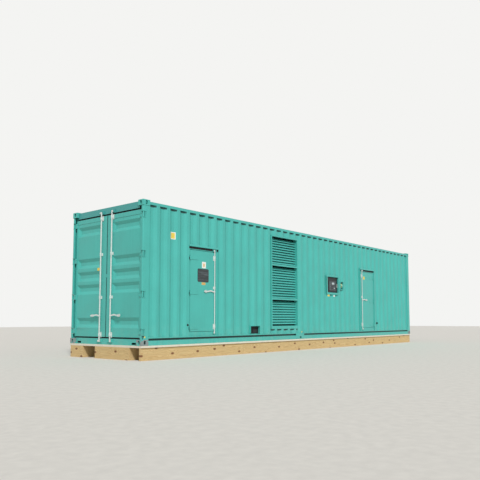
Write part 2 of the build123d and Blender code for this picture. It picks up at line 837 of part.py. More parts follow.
# Rain hoods over the personnel doors
with BuildPart() as rain_hoods:
    hood_low = frame_top - hood_height
    for low, high in (frame_1, frame_2):
        hood_start = (door_end + low + frame_rim, front, base + hood_low)
        with BuildSketch(Plane(origin=hood_start, x_dir=(0, 1, 0), z_dir=(1, 0, 0))):
            with BuildLine():
                Polyline((hood_face, 0), (hood_face + 3, 0), (hood_face + 3, hood_height - 8),
                         (wall_inset, hood_height), (wall_inset, hood_height + 6),
                         (hood_face, hood_height - 6), close=True)
            make_face()
            with BuildLine():
                Polyline((hood_face + 3, hood_height - 8), (person_leaf_inset, hood_height - 8),
                         (person_leaf_inset, hood_height), (wall_inset, hood_height), close=True)
            make_face()
        extrude(amount=high - low - 2 * frame_rim)
finish(rain_hoods, "rain_hoods")

# Control window: flange on the crests and a pan let into the wall
with BuildPart() as control_window:
    side_block((window_left - window_flange, window_right + window_flange),
               (wall_inset - window_skin, wall_inset),
               (window_bottom - window_flange, window_top + window_flange))
    side_block((pan_left, pan_right), (wall_inset, window_depth), (pan_bottom, pan_top))
    side_block((window_left, window_right), (0, window_depth - window_skin), (window_bottom, window_top),
               mode=Mode.SUBTRACT)
finish(control_window, "control_window")


def raised_plate(place, height_above_base, wide, tall, out):
    """Rectangular plate that stands out from the face of the control panel."""
    side_block((place - wide / 2, place + wide / 2), (panel_face - out, panel_face),
               (height_above_base - tall / 2, height_above_base + tall / 2))


# Control panel standing in the pan, with its instrument face and handle
with BuildPart() as control_panel:
    panel_back = window_depth - window_skin
    panel_face = panel_back - panel_thickness
    side_block((window_left + panel_gap, window_right - panel_gap), (panel_face, panel_back),
               (window_bottom + panel_gap, window_top - panel_gap))
    raised_plate(instrument_place, instrument_height, instrument_wide, instrument_tall, instrument_thickness)
    for end in (-1, 1):
        raised_plate(handle_bar_place, handle_bar_height + end * (handle_bar_tall - handle_bar_width) / 2,
                     handle_bar_width, handle_bar_width, handle_bar_reach)
    side_block((handle_bar_place - handle_bar_width / 2, handle_bar_place + handle_bar_width / 2),
               (panel_face - handle_bar_reach, panel_face - handle_bar_reach + handle_bar_width / 2),
               (handle_bar_height - handle_bar_tall / 2, handle_bar_height + handle_bar_tall / 2))
finish(control_panel, "control_panel")

# Stop box beside the window, open to the front round its button
with BuildPart() as stop_box:
    button_face = wall_inset
    pocket = stop_depth / 2
    side_block((stop_left, stop_right), (stop_inset, stop_depth), (stop_bottom, stop_top))
    side_block((stop_left + stop_rim, stop_right - stop_rim), (0, pocket),
               (stop_bottom + stop_rim, stop_top - stop_rim), mode=Mode.SUBTRACT)
    button = (door_end + (stop_left + stop_right) / 2, front + pocket, base + (stop_bottom + stop_top) / 2)
    with BuildSketch(Plane(origin=button, x_dir=(1, 0, 0), z_dir=(0, -1, 0))):
        Circle(stop_button_radius)
    extrude(amount=pocket - button_face)
finish(stop_box, "stop_box")

# Cable recess low in the wall
with BuildPart() as cable_recess:
    side_block((recess_left, recess_right), (louvre_inset, recess_depth), (recess_bottom, recess_top))
    side_block((recess_left + recess_rim, recess_right - recess_rim), (0, recess_depth - recess_rim),
               (recess_bottom + recess_rim, recess_top - recess_rim), mode=Mode.SUBTRACT)
finish(cable_recess, "cable_recess")

# Rubber buffers on the side, one on a crest and one in a trough
with BuildPart() as door_buffers:
    for s, z, seat in ((buffer_1_place, buffer_height, wall_inset),
                       (buffer_2_place, buffer_height, wall_inset + side_depth)):
        centre = (door_end + s, front + seat, base + z)
        with BuildSketch(Plane(origin=centre, x_dir=(1, 0, 0), z_dir=(0, -1, 0))):
            Circle(buffer_radius)
        extrude(amount=seat - buffer_face)
finish(door_buffers, "door_buffers")


def lining_slab(s, z, side=-1):
    """Flat acoustic slab behind a side sheet."""
    side_block((s[0] + lining_gap, s[1] - lining_gap), (lining_front, lining_back), z, side)


lining_low = deck_top + lining_clearance
lining_high = wall_top - ceiling_lining_thickness - lining_gap
lining_start = post_end + lining_gap
lining_end = length - casting_length - lining_gap

# Lining of the front wall, clear of the doors, louvre, window and boxes
with BuildPart() as front_lining:
    lining_slab((lining_start, frame_1[0]), (lining_low, lining_high))
    lining_slab(frame_1, (frame_top + lining_gap, lining_high))
    lining_slab((frame_1[1], louvre_left), (recess_top + 2 * lining_gap, lining_high))
    lining_slab((louvre_left, louvre_right), (louvre_top + lining_gap, lining_high))
    lining_slab((louvre_right, pan_left), (lining_low, lining_high))
    lining_slab((pan_left, stop_right), (pan_top + lining_gap, lining_high))
    lining_slab((pan_left, stop_right), (lining_low, pan_bottom - lining_gap))
    lining_slab((stop_right, frame_2[0]), (lining_low, lining_high))
    lining_slab(frame_2, (frame_top + lining_gap, lining_high))
    lining_slab((frame_2[1], lining_end), (lining_low, lining_high))
finish(front_lining, "front_lining")

# Lining of the back wall
with BuildPart() as back_lining:
    lining_slab((lining_start, louvre_left), (lining_low, lining_high), 1)
    lining_slab((louvre_left, louvre_right), (louvre_top + lining_gap, lining_high), 1)
    lining_slab((louvre_left, louvre_right), (lining_low, louvre_bottom - lining_gap), 1)
    lining_slab((louvre_right, lining_end), (lining_low, lining_high), 1)
finish(back_lining, "back_lining")

# Lining of the far end, round the discharge louvre
with BuildPart() as end_lining:
    half = width / 2 - lining_back - lining_gap
    x = (far_end - end_lining_face - lining_thickness, far_end - end_lining_face)
    beside = end_louvre_half + lining_gap
    block(x, (-half, -beside), (base + lining_low, base + lining_high))
    block(x, (beside, half), (base + lining_low, base + lining_high))
    block(x, (-end_louvre_half, end_louvre_half), (base + louvre_top + lining_gap, base + lining_high))
    block(x, (-end_louvre_half, end_louvre_half), (base + lining_low, base + louvre_bottom - lining_gap))
finish(end_lining, "end_lining")

# Lining under the roof
with BuildPart() as ceiling_lining:
    side_block((lining_start, lining_end), (lining_front, width - lining_front),
               (wall_top - ceiling_lining_thickness, wall_top))
finish(ceiling_lining, "ceiling_lining")


def hinge_knuckle(plane, radius, pin_radius, tall):
    """Forged knuckle with a running hole for the pin, centred on the plane's origin."""
    with BuildSketch(plane.offset(-tall / 2)) as knuckle:
        RegularPolygon(radius, 8, major_radius=False, rotation=22.5)
    extrude(knuckle.sketch, amount=tall)
    with BuildSketch(plane.offset(-tall / 2 - 1)) as hole:
        Circle(pin_radius + hinge_pin_clearance)
    extrude(hole.sketch, amount=tall + 2, mode=Mode.SUBTRACT)


leaf_pressing = pressed_trough(cargo_press_length, cargo_press_height, cargo_press_depth, cargo_press_slope)


def cargo_door():
    """Right-hand cargo door leaf (front half of the door end) with its hinge blades."""
    inner = width / 2 - cargo_gap / 2
    near = door_end + cargo_leaf_inset
    v = (leaf_edge, inner)
    bottom = cargo_leaf_bottom
    top = cargo_leaf_top
    bar = cargo_frame_bar
    # Frame of the leaf
    panel = (v[0] + cargo_hinge_bar, v[1] - bar)
    with BuildSketch(Plane(origin=(near, front, base), x_dir=(0, 1, 0), z_dir=(1, 0, 0))) as frame:
        with Locations(((v[0] + v[1]) / 2, (bottom + top) / 2)):
            Rectangle(v[1] - v[0], top - bottom)
        with Locations(((panel[0] + panel[1]) / 2, (bottom + top) / 2)):
            Rectangle(panel[1] - panel[0], top - bottom - 2 * bar, mode=Mode.SUBTRACT)
    extrude(frame.sketch, amount=cargo_leaf_thickness)
    # Back of the frame, open between its outer and inner edges
    behind_skin = (near + frame_skin, front, base)
    with BuildSketch(Plane(origin=behind_skin, x_dir=(0, 1, 0), z_dir=(1, 0, 0))) as back_side:
        with Locations(((v[0] + v[1]) / 2, (bottom + top) / 2)):
            Rectangle(v[1] - v[0] - 2 * frame_skin, top - bottom - 2 * frame_skin)
        with Locations(((panel[0] + panel[1]) / 2, (bottom + top) / 2)):
            Rectangle(panel[1] - panel[0] + 2 * frame_skin, top - bottom - 2 * bar + 2 * frame_skin,
                      mode=Mode.SUBTRACT)
    extrude(back_side.sketch, amount=cargo_leaf_thickness, mode=Mode.SUBTRACT)
    # Pressed panel
    face = near + cargo_panel_inset
    block((face, face + sheet), (front + panel[0], front + panel[1]), (base + bottom + bar, base + top - bar))
    press_middle = front + panel[0] + cargo_press_start + cargo_press_length / 2
    for out, mode in ((sheet, Mode.ADD), (0, Mode.SUBTRACT)):
        with Locations([Plane(origin=(face + out, press_middle, base + z), x_dir=(0, 1, 0), z_dir=(1, 0, 0))
                        for z in cargo_press_heights]):
            add(leaf_pressing, mode=mode)
    # Hinge blades
    for z in cargo_hinge_heights:
        block((near - blade_thickness, near), (front + hinge_pin_v, front + blade_length),
              (base + z - hinge_height / 2, base + z + hinge_height / 2))
        hinge_knuckle(Plane(origin=(door_end + hinge_pin_u, front + hinge_pin_v, base + z)),
                      hinge_knuckle_radius, hinge_pin_radius, hinge_height)


with BuildPart() as cargo_door_right:
    cargo_door()
    # Small plate that closes most of the gap between the leaves
    block((door_end + cargo_leaf_inset, door_end + cargo_leaf_inset + cargo_leaf_thickness / 2),
          (-cargo_gap / 2, -cargo_gap / 2 + cargo_bridge_reach),
          (base + cargo_bridge_z - cargo_bridge_height / 2, base + cargo_bridge_z + cargo_bridge_height / 2))
finish(cargo_door_right, "cargo_door_right")

with BuildPart() as cargo_door_left:
    cargo_door()
    mirror(about=Plane.XZ, mode=Mode.REPLACE)
finish(cargo_door_left, "cargo_door_left")


def lock_rod(plane, radius, bottom, top, handle_z, cam_length, to_hinge):
    """Lock rod with its cams and handle: the plane's y axis points out of the wall."""
    with BuildSketch(plane.offset(bottom)) as rod:
        Circle(radius)
    extrude(rod.sketch, amount=top - bottom)
    heel = radius * 0.7
    for low in (bottom, top - cam_height):
        with BuildSketch(plane.offset(low)) as cam:
            with BuildLine():
                Polyline((-to_hinge * heel, -heel), (to_hinge * heel, -heel), (to_hinge * cam_length, 2),
                         (to_hinge * cam_length, radius), (-to_hinge * heel, heel), close=True)
            make_face()
        extrude(cam.sketch, amount=cam_height)
    with BuildSketch(plane.offset(handle_z - handle_height / 2)) as handle:
        with Locations((to_hinge * handle_length / 2, 0)):
            Rectangle(handle_length, handle_thickness)
        Circle(radius + 3)
    extrude(handle.sketch, amount=handle_height)


def lock_guides(plane, radius, seats, handle_z, handle_seat, to_hinge):
    """Bearing brackets at each (height, rod to seat) and the catch that holds the handle."""
    for z, seat in seats:
        with BuildSketch(plane.offset(z - guide_height / 2)) as bracket:
            with Locations((0, -seat + guide_base / 2)):
                Rectangle(guide_width, guide_base)
            outer = radius + guide_wall
            with BuildLine():
                Polyline((-outer, -seat), (outer, -seat), (outer, outer / 2), (outer / 2, outer),
                         (-outer / 2, outer), (-outer, outer / 2), close=True)
            make_face()
            Circle(radius + guide_clearance, mode=Mode.SUBTRACT)
        extrude(bracket.sketch, amount=guide_height)
    middle = to_hinge * (handle_length - 60)
    half = handle_height / 2 + catch_gap
    back_gap = handle_thickness / 2 + catch_gap
    with BuildSketch(plane.offset(handle_z - half - catch_lip)) as rest:
        with Locations((middle, -(handle_seat + back_gap) / 2)):
            Rectangle(catch_width, handle_seat - back_gap)
    extrude(rest.sketch, amount=2 * half + 2 * catch_lip)
    for low in (handle_z - half - catch_lip, handle_z + half):
        with BuildSketch(plane.offset(low)) as lip:
            with Locations((middle, (handle_thickness / 2 - handle_seat) / 2)):
                Rectangle(catch_width, handle_seat + handle_thickness / 2)
        extrude(lip.sketch, amount=catch_lip)


def cargo_plane(side):
    """Plane at a cargo lock rod with its y axis pointing out of the door end."""
    rod_u = cargo_leaf_inset - cargo_rod_stand_off
    return Plane(origin=(door_end + rod_u, side * cargo_rod_offset, base), x_dir=(0, 1, 0), z_dir=(0, 0, 1))


def person_plane(leaf, hinge_side):
    """Plane at a personnel lock rod with its y axis pointing out of the long side."""
    free = leaf[1] if hinge_side < 0 else leaf[0]
    x = door_end + free + hinge_side * person_rod_inset
    y = front + person_leaf_inset - person_rod_stand_off
    return Plane(origin=(x, y, base), x_dir=(-1, 0, 0), z_dir=(0, 0, 1))


with BuildPart() as cargo_lock_right:
    lock_rod(cargo_plane(-1), cargo_rod_radius, cargo_rod_bottom, cargo_rod_top, cargo_handle_z,
             cargo_cam_length, -1)
finish(cargo_lock_right, "cargo_lock_right")

with BuildPart() as cargo_lock_left:
    lock_rod(cargo_plane(1), cargo_rod_radius, cargo_rod_bottom, cargo_rod_top, cargo_handle_z,
             cargo_cam_length, 1)
finish(cargo_lock_left, "cargo_lock_left")

cargo_panel_seat = cargo_rod_stand_off + cargo_panel_inset
cargo_seats = [(z, cargo_rod_stand_off) for z in cargo_bar_guides]
cargo_seats += [(z, cargo_panel_seat) for z in cargo_panel_guides]

with BuildPart() as cargo_guides_right:
    lock_guides(cargo_plane(-1), cargo_rod_radius, cargo_seats, cargo_handle_z, cargo_panel_seat, -1)
finish(cargo_guides_right, "cargo_guides_right")

with BuildPart() as cargo_guides_left:
    lock_guides(cargo_plane(1), cargo_rod_radius, cargo_seats, cargo_handle_z, cargo_panel_seat, 1)
finish(cargo_guides_left, "cargo_guides_left")


def person_door(leaf, hinge_side):
    """Personnel door leaf with its strap hinges."""
    face = person_leaf_inset
    top = person_leaf_bottom + person_leaf_height
    side_block(leaf, (face, face + person_leaf_thickness), (person_leaf_bottom, top))
    side_block((leaf[0] + leaf_skin, leaf[1] - leaf_skin),
               (face + leaf_skin, face + person_leaf_thickness),
               (person_leaf_bottom + leaf_skin, top - leaf_skin), mode=Mode.SUBTRACT)
    edge = leaf[0] if hinge_side < 0 else leaf[1]
    pin = edge + hinge_side * person_pin_out
    strap = sorted((edge, edge - hinge_side * strap_length))
    link = sorted((pin, edge - hinge_side * strap_link))
    for z in strap_heights:
        low = z - strap_height / 2
        side_block(strap, (face - strap_thickness, face), (low, low + strap_height))
        side_block(link, (person_pin_v, face - strap_thickness), (low, low + strap_height))
        hinge_knuckle(Plane(origin=(door_end + pin, front + person_pin_v, base + z)), person_knuckle_radius,
                      person_pin_radius, strap_height)


def person_core(leaf):
    """Acoustic core that fills the pan of a personnel door leaf."""
    face = person_leaf_inset
    top = person_leaf_bottom + person_leaf_height
    side_block((leaf[0] + leaf_skin, leaf[1] - leaf_skin),
               (face + leaf_skin, face + person_leaf_thickness - core_gap),
               (person_leaf_bottom + leaf_skin, top - leaf_skin))


glass_s = door_1[0] + door_glass_offset
with BuildPart() as personnel_door_1:
    person_door(door_1, -1)
    glass_plane = Plane(origin=(door_end + glass_s, front + person_leaf_inset, base + door_glass_height),
                        x_dir=(1, 0, 0), z_dir=(0, -1, 0))
    with BuildSketch(glass_plane):
        Rectangle(door_glass_wide - 2 * door_glass_lap, door_glass_tall - 2 * door_glass_lap)
    extrude(amount=-person_leaf_thickness, mode=Mode.SUBTRACT)
finish(personnel_door_1, "personnel_door_1")

with BuildPart() as personnel_core_1:
    person_core(door_1)
    with BuildSketch(glass_plane):
        Rectangle(door_glass_wide - 2 * door_glass_lap, door_glass_tall - 2 * door_glass_lap)
    extrude(amount=-person_leaf_thickness, mode=Mode.SUBTRACT)
finish(personnel_core_1, "personnel_core_1")

with BuildPart() as personnel_core_2:
    person_core(door_2)
finish(personnel_core_2, "personnel_core_2")

with BuildPart() as door_1_window:
    with BuildSketch(glass_plane):
        RectangleRounded(door_glass_wide, door_glass_tall, door_glass_corner)
    extrude(amount=door_glass_thickness)
finish(door_1_window, "door_1_window")

with BuildPart() as personnel_door_2:
    person_door(door_2, 1)
finish(personnel_door_2, "personnel_door_2")

with BuildPart() as personnel_lock_1:
    lock_rod(person_plane(door_1, -1), person_rod_radius, person_rod_bottom, person_rod_top, person_handle_z,
             person_cam_length, 1)
finish(personnel_lock_1, "personnel_lock_1")

with BuildPart() as personnel_lock_2:
    lock_rod(person_plane(door_2, 1), person_rod_radius, person_rod_bottom, person_rod_top, person_handle_z,
             person_cam_length, -1)
finish(personnel_lock_2, "personnel_lock_2")

person_seats = [(z, person_rod_stand_off) for z in person_guide_heights]

with BuildPart() as personnel_guides_1:
    lock_guides(person_plane(door_1, -1), person_rod_radius, person_seats, person_handle_z,
                person_rod_stand_off, 1)
finish(personnel_guides_1, "personnel_guides_1")

with BuildPart() as personnel_guides_2:
    lock_guides(person_plane(door_2, 1), person_rod_radius, person_seats, person_handle_z,
                person_rod_stand_off, -1)
finish(personnel_guides_2, "personnel_guides_2")
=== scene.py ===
"""Finishes, rolled sheets, small fittings, light and camera for a generator set in a steel container."""

import json
import logging
import math
from dataclasses import dataclass
from enum import Enum
from functools import partial
from typing import Callable, List, NamedTuple, Sequence, Union

import bmesh
import bpy
from bpy.types import ID, Material, Mesh, Node, NodeSocket, NodeTree, Object
from mathutils import Euler, Matrix, Vector
from mathutils.bvhtree import BVHTree


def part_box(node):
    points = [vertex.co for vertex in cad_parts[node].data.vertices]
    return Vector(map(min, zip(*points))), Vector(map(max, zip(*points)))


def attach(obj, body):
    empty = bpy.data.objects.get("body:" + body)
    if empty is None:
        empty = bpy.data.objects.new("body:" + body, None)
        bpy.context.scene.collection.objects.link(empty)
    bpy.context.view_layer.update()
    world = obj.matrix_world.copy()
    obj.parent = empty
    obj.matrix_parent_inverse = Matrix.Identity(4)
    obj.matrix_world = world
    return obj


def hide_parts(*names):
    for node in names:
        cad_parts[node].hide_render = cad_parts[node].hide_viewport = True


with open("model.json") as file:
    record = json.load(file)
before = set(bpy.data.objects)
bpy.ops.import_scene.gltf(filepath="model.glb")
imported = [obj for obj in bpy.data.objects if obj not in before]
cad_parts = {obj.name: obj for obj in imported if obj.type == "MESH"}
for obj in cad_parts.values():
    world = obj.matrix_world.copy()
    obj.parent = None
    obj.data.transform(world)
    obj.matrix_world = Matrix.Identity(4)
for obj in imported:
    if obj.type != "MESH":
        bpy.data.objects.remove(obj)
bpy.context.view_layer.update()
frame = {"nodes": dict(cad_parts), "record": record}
LOG = logging.getLogger("generator_container")

MM = 0.001
LENGTH = 12.192
WIDTH = 2.438
BASE = 0.290
DOOR_END = -LENGTH / 2
FAR_END = LENGTH / 2
FRONT = -WIDTH / 2
CARGO_LEAVES = ((-1, "cargo_door_right"), (1, "cargo_door_left"))

# Rounding of the edges of small plates and strips
FINE = 1.0 * MM

# Most of a noise texture lies between these two values
NOISE_BULK = (0.3, 0.7)

# Settings of nodes that come up again and again
TIMES = {"operation": "MULTIPLY"}
PLUS = {"operation": "ADD"}
SCALED = {"operation": "SCALE"}
BLENDED = {"data_type": "RGBA"}
SMOOTH = {"interpolation_type": "SMOOTHSTEP"}

# What feeds an input of a node, and a function that adds nodes to one tree
Feed = Union[NodeSocket, Node, float, int]
Maker = Callable[..., Node]


class Slot(str, Enum):
    """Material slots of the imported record."""

    PAINT = "container_paint"
    GALVANISED = "galvanised_steel"
    PINE = "pine_timber"
    BOARD = "pale_board"
    LINING = "acoustic_lining"
    PANEL = "dark_panel"
    PANE = "dark_window"
    RUBBER = "black_rubber"


class Grain(Enum):
    """Direction in which the fibres of a timber run, as a turn about the upright axis."""

    ALONG = 0.0
    ACROSS = math.pi / 2


class Side(Enum):
    """Long side of the container, as the sign of its Y."""

    FRONT = -1
    BACK = 1


class Facing(Enum):
    """Way a fitting looks, as the turn that brings its +Z there."""

    FRONT = (math.pi / 2, 0.0, 0.0)
    BACK = (-math.pi / 2, 0.0, 0.0)
    DOOR_END = (0.0, -math.pi / 2, 0.0)
    FAR_END = (0.0, math.pi / 2, 0.0)


class Head(Enum):
    """Fastener heads: sides, width, height and taper of the head, then width and height of its washer."""

    HEX_BOLT = (6, 0.019, 0.0075, 0.94, 0.024, 0.0025)
    DOME_RIVET = (12, 0.014, 0.0035, 0.55, 0.018, 0.0012)


class PaintedShade(Enum):
    """Where shade is painted: steepest face that gets it, height under a ledge in metres, and its strength.
    """

    UNDERSIDES = (-0.9, 0.0, 1.0)
    SLOPES = (-0.4, 0.0, 1.0)
    LEDGES = (-0.4, 0.045, 1.15)


class Coating(NamedTuple):
    """A finish, built, with the record slot that it belongs to."""

    material: Material
    slot: Slot


class Knob(NamedTuple):
    """Round button or lamp: its radius, its height and the rounding of its front edge, in metres."""

    radius: float
    height: float
    dome: float


@dataclass(frozen=True)
class Area:
    """Upright rectangle on a side or an end of the container.

    Attributes:
        left: Distance of its first edge from the door end, or from the front side.
        right: Distance of its second edge.
        low: Height of its lower edge above the base.
        high: Height of its upper edge.
    """

    left: float
    right: float
    low: float
    high: float

    @classmethod
    def around(cls, across: float, up: float, half_wide: float, half_tall: float) -> "Area":
        """Rectangle about a middle point."""
        return cls(across - half_wide, across + half_wide, up - half_tall, up + half_tall)

    def inset(self, by: float) -> "Area":
        """Rectangle whose four edges are set in by a distance."""
        return Area(self.left + by, self.right - by, self.low + by, self.high - by)

    def parts_round(self, hole: "Area") -> List["Area"]:
        """Share out the rectangle round a hole.

        Args:
            hole: Rectangle inside it that stays free.

        Returns:
            Four rectangles: left and right of the hole, below it and above it.
        """
        return [Area(self.left, hole.left, self.low, self.high),
                Area(hole.right, self.right, self.low, self.high),
                Area(hole.left, hole.right, self.low, hole.low),
                Area(hole.left, hole.right, hole.high, self.high)]


def on_front(s: float, z: float, v: float = 0.0) -> Vector:
    """Point by distance from the door end, height above the base and depth behind the front side."""
    return Vector((DOOR_END + s, FRONT + v, BASE + z))


def on_end(a: float, z: float, u: float = 0.0) -> Vector:
    """Point by distance from the front side, height above the base and depth behind the door end."""
    return Vector((DOOR_END + u, FRONT + a, BASE + z))


def area_of(node: str) -> Area:
    """Area that a CAD node's box takes up on a long side."""
    low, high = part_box(node)
    return Area(low.x - DOOR_END, high.x - DOOR_END, low.z - BASE, high.z - BASE)


def body_of(node: str) -> str:
    """Name of the body that carries a CAD node."""
    bodies = frame["record"]["behaviour"]["bodies"]
    return next(name for name, nodes in bodies.items() if node in nodes)


def linear(hex_colour: str) -> tuple:
    """Turn an sRGB hex colour into linear red, green, blue and alpha.

    Args:
        hex_colour: Six hex digits.

    Returns:
        Four floats for a colour socket.
    """
    channels = [int(hex_colour[i:i + 2], 16) / 255 for i in (0, 2, 4)]
    return (*[c / 12.92 if c <= 0.04045 else ((c + 0.055) / 1.055) ** 2.4 for c in channels], 1.0)


def per_metre(millimetres: float) -> float:
    """Texture scale at which a pattern repeats about once in that many millimetres."""
    return 1000.0 / millimetres


def add(tree: NodeTree, kind: str, inputs: Union[dict, Sequence] = (), **settings) -> Node:
    """Add one node with its settings, and set or link its inputs.

    Args:
        tree: Node tree that gets the node.
        kind: The node's type name.
        inputs: Plain values, sockets or nodes, by the inputs' names or in their order. A node stands for
            its first output in use, and a list holds everything that one input joins.
        **settings: Attributes of the node.

    Returns:
        The new node.
    """
    node = tree.nodes.new(kind)
    for name, value in settings.items():
        setattr(node, name, value)
    for name, value in inputs.items() if isinstance(inputs, dict) else enumerate(inputs):
        for feed in value if isinstance(value, list) else (value,):
            if isinstance(feed, Node):
                feed = next(output for output in feed.outputs if output.enabled)
            if isinstance(feed, NodeSocket):
                tree.links.new(feed, node.inputs[name])
            else:
                node.inputs[name].default_value = feed
    return node


@dataclass(frozen=True)
class Finish:
    """A finish of one real material, even but for a faint mottle.

    Attributes:
        name: Name of the Blender material.
        colour: sRGB hex of the clean surface.
        roughness: Roughness of the clean surface.
        metallic: 1 for bare metal.
        mottle: Width in millimetres of a patch of the mottle.
        tone: Factors of the colour at the two ends of its pattern.
        play: How far the roughness goes down and up with the pattern.
    """

    name: str
    colour: str
    roughness: float = 0.5
    metallic: float = 0.0
    mottle: float = 90.0
    tone: tuple = (0.88, 1.1)
    play: tuple = (-0.06, 0.06)

    def material(self) -> Material:
        """Build the material: its shader, fed by the surface pattern of the finish.

        Returns:
            The new material.
        """
        material = bpy.data.materials.new(self.name)
        material.use_nodes = True
        material.node_tree.nodes.clear()
        new = partial(add, material.node_tree)
        inputs = {"Base Color": linear(self.colour), "Roughness": self.roughness, "Metallic": self.metallic}
        inputs.update(self.surface(new, new("ShaderNodeTexCoord").outputs["Object"]))
        new("ShaderNodeOutputMaterial", {"Surface": new("ShaderNodeBsdfPrincipled", inputs)})
        return material

    def coating(self, slot: Slot) -> Coating:
        """The finish, built, for a record slot."""
        return Coating(self.material(), slot)

    def rough_range(self) -> tuple:
        """Roughness at the two ends of the pattern."""
        return self.roughness + self.play[0], self.roughness + self.play[1]

    def surface(self, new: Maker, place: NodeSocket) -> dict:
        """Mottle of the colour and the roughness.

        Args:
            new: Adds a node to the material's tree.
            place: Object coordinates.

        Returns:
            Inputs of the shader that the pattern feeds.
        """
        mottle = new("ShaderNodeTexNoise", {"Vector": place, "Scale": per_metre(self.mottle), "Detail": 4.0})
        tone = new("ShaderNodeMapRange", (mottle, 0.0, 1.0, *self.tone))
        rough = new("ShaderNodeMapRange", (mottle, 0.0, 1.0, *self.rough_range()))
        colour = new("ShaderNodeVectorMath", {0: linear(self.colour)[:3], "Scale": tone}, **SCALED)
        return {"Base Color": colour, "Roughness": rough}


@dataclass(frozen=True)
class EnamelOnSteel(Finish):
    """Alkyd enamel, sprayed on pressed steel: satin, slightly uneven, dusty near the ground.

    Attributes:
        clouds: Width in millimetres of the clouds in which sprayed coats overlap.
        streaks: Width and length in millimetres of the streaks that rain leaves.
        streak_tone: Factors of the colour beside and in a streak.
        dust: sRGB hex of the pale stone dust that splashes up.
        dust_top: Height above the base where the dust ends, in metres.
        dust_patch: Width in millimetres of the patches in which it gathers.
        dust_share: Its greatest share of the colour.
        primer: sRGB hex of the primer under rubbed enamel.
        rubbed: Share of the surface that is rubbed through.
        rub: Width in millimetres of a rubbed patch.
        rub_share: Share of the primer in it.
        grime: sRGB hex of the dark teal painted as shade on undersides, under ledges and in trough tops.
        grime_share: Its greatest share of the colour.
        peel: Width in millimetres of a dimple of the orange peel.
        peel_depth: Its depth, in metres.
        waves: Length in millimetres of the sheet's slow waves.
        wave_depth: Their depth, in metres.
    """

    tone: tuple = (0.955, 1.035)
    play: tuple = (-0.05, 0.07)
    clouds: float = 600.0
    streaks: tuple = (34.0, 1500.0)
    streak_tone: tuple = (1.0, 0.93)
    dust: str = "C9C2AE"
    dust_top: float = 0.55
    dust_patch: float = 120.0
    dust_share: float = 0.10
    primer: str = "8D8F90"
    rubbed: float = 0.0
    rub: float = 60.0
    rub_share: float = 0.9
    grime: str = "0E3F3C"
    grime_share: float = 0.85
    peel: float = 5.0
    peel_depth: float = 0.00008
    waves: float = 420.0
    wave_depth: float = 0.0054

    def surface(self, new: Maker, place: NodeSocket) -> dict:
        """Cloudy tone, rain streaks, dust, rubbed patches, painted shade, orange peel and slow waves.

        Args:
            new: Adds a node to the material's tree.
            place: Object coordinates.

        Returns:
            Inputs of the shader that the pattern feeds.
        """
        clouds = new("ShaderNodeTexNoise", {"Vector": place, "Scale": per_metre(self.clouds), "Detail": 3.0})
        wide, tall = (per_metre(size) for size in self.streaks)
        upright = new("ShaderNodeMapping", {"Vector": place, "Scale": (wide, wide, tall)})
        streaks = new("ShaderNodeTexNoise", {"Vector": upright, "Scale": 1.0, "Detail": 2.0})
        tone = new("ShaderNodeMath", (
            new("ShaderNodeMapRange", (clouds, *NOISE_BULK, *self.tone), **SMOOTH),
            new("ShaderNodeMapRange", (streaks, 0.5, 0.78, *self.streak_tone), **SMOOTH)), **TIMES)
        colour = new("ShaderNodeVectorMath", {0: linear(self.colour)[:3], "Scale": tone}, **SCALED)
        # Stone dust fades out upwards and gathers in patches
        height = new("ShaderNodeSeparateXYZ", (place,)).outputs["Z"]
        patches = new("ShaderNodeTexNoise", {"Vector": place, "Detail": 5.0,
                                             "Scale": per_metre(self.dust_patch)})
        dusty = new("ShaderNodeMath", (
            new("ShaderNodeMapRange", (height, BASE, BASE + self.dust_top, 1.0, 0.0), **SMOOTH),
            new("ShaderNodeMapRange", (patches, 0.35, 0.75, 0.0, 1.0), **SMOOTH)), **TIMES)
        dust_share = new("ShaderNodeMath", (dusty, self.dust_share), **TIMES)
        colour = new("ShaderNodeMix", {0: dust_share, 6: colour, 7: linear(self.dust)}, **BLENDED)
        if self.rubbed:
            # Lifting gear rubs patches down to the primer
            rub = new("ShaderNodeTexNoise", {"Vector": place, "Scale": per_metre(self.rub), "Detail": 4.0})
            limits = (0.6 - self.rubbed / 2, 0.63 - self.rubbed / 2)
            bare = new("ShaderNodeMapRange", (rub, *limits, 0.0, self.rub_share), **SMOOTH)
            colour = new("ShaderNodeMix", {0: bare, 6: colour, 7: linear(self.primer)}, **BLENDED)
        # Painted shade: the marked faces turn dark teal, as if in shadow
        shelter = new("ShaderNodeAttribute", attribute_name="shelter").outputs["Fac"]
        shaded = new("ShaderNodeMath", (shelter, self.grime_share), **TIMES)
        colour = new("ShaderNodeMix", {0: shaded, 6: colour, 7: linear(self.grime)}, **BLENDED)
        rough = new("ShaderNodeMapRange", (clouds, *NOISE_BULK, *self.rough_range()), **SMOOTH)
        # Orange peel is 2 mm across in truth and drawn wider, because it is too fine to show
        peel = new("ShaderNodeTexNoise", {"Vector": place, "Scale": per_metre(self.peel), "Detail": 1.0})
        waves = new("ShaderNodeTexNoise", {"Vector": place, "Scale": per_metre(self.waves), "Detail": 1.0})
        coarse = new("ShaderNodeBump", {"Height": waves, "Distance": self.wave_depth, "Strength": 0.5})
        fine = new("ShaderNodeBump", {"Height": peel, "Distance": self.peel_depth, "Strength": 0.4,
                                      "Normal": coarse})
        return {"Base Color": colour, "Roughness": rough, "Normal": fine}


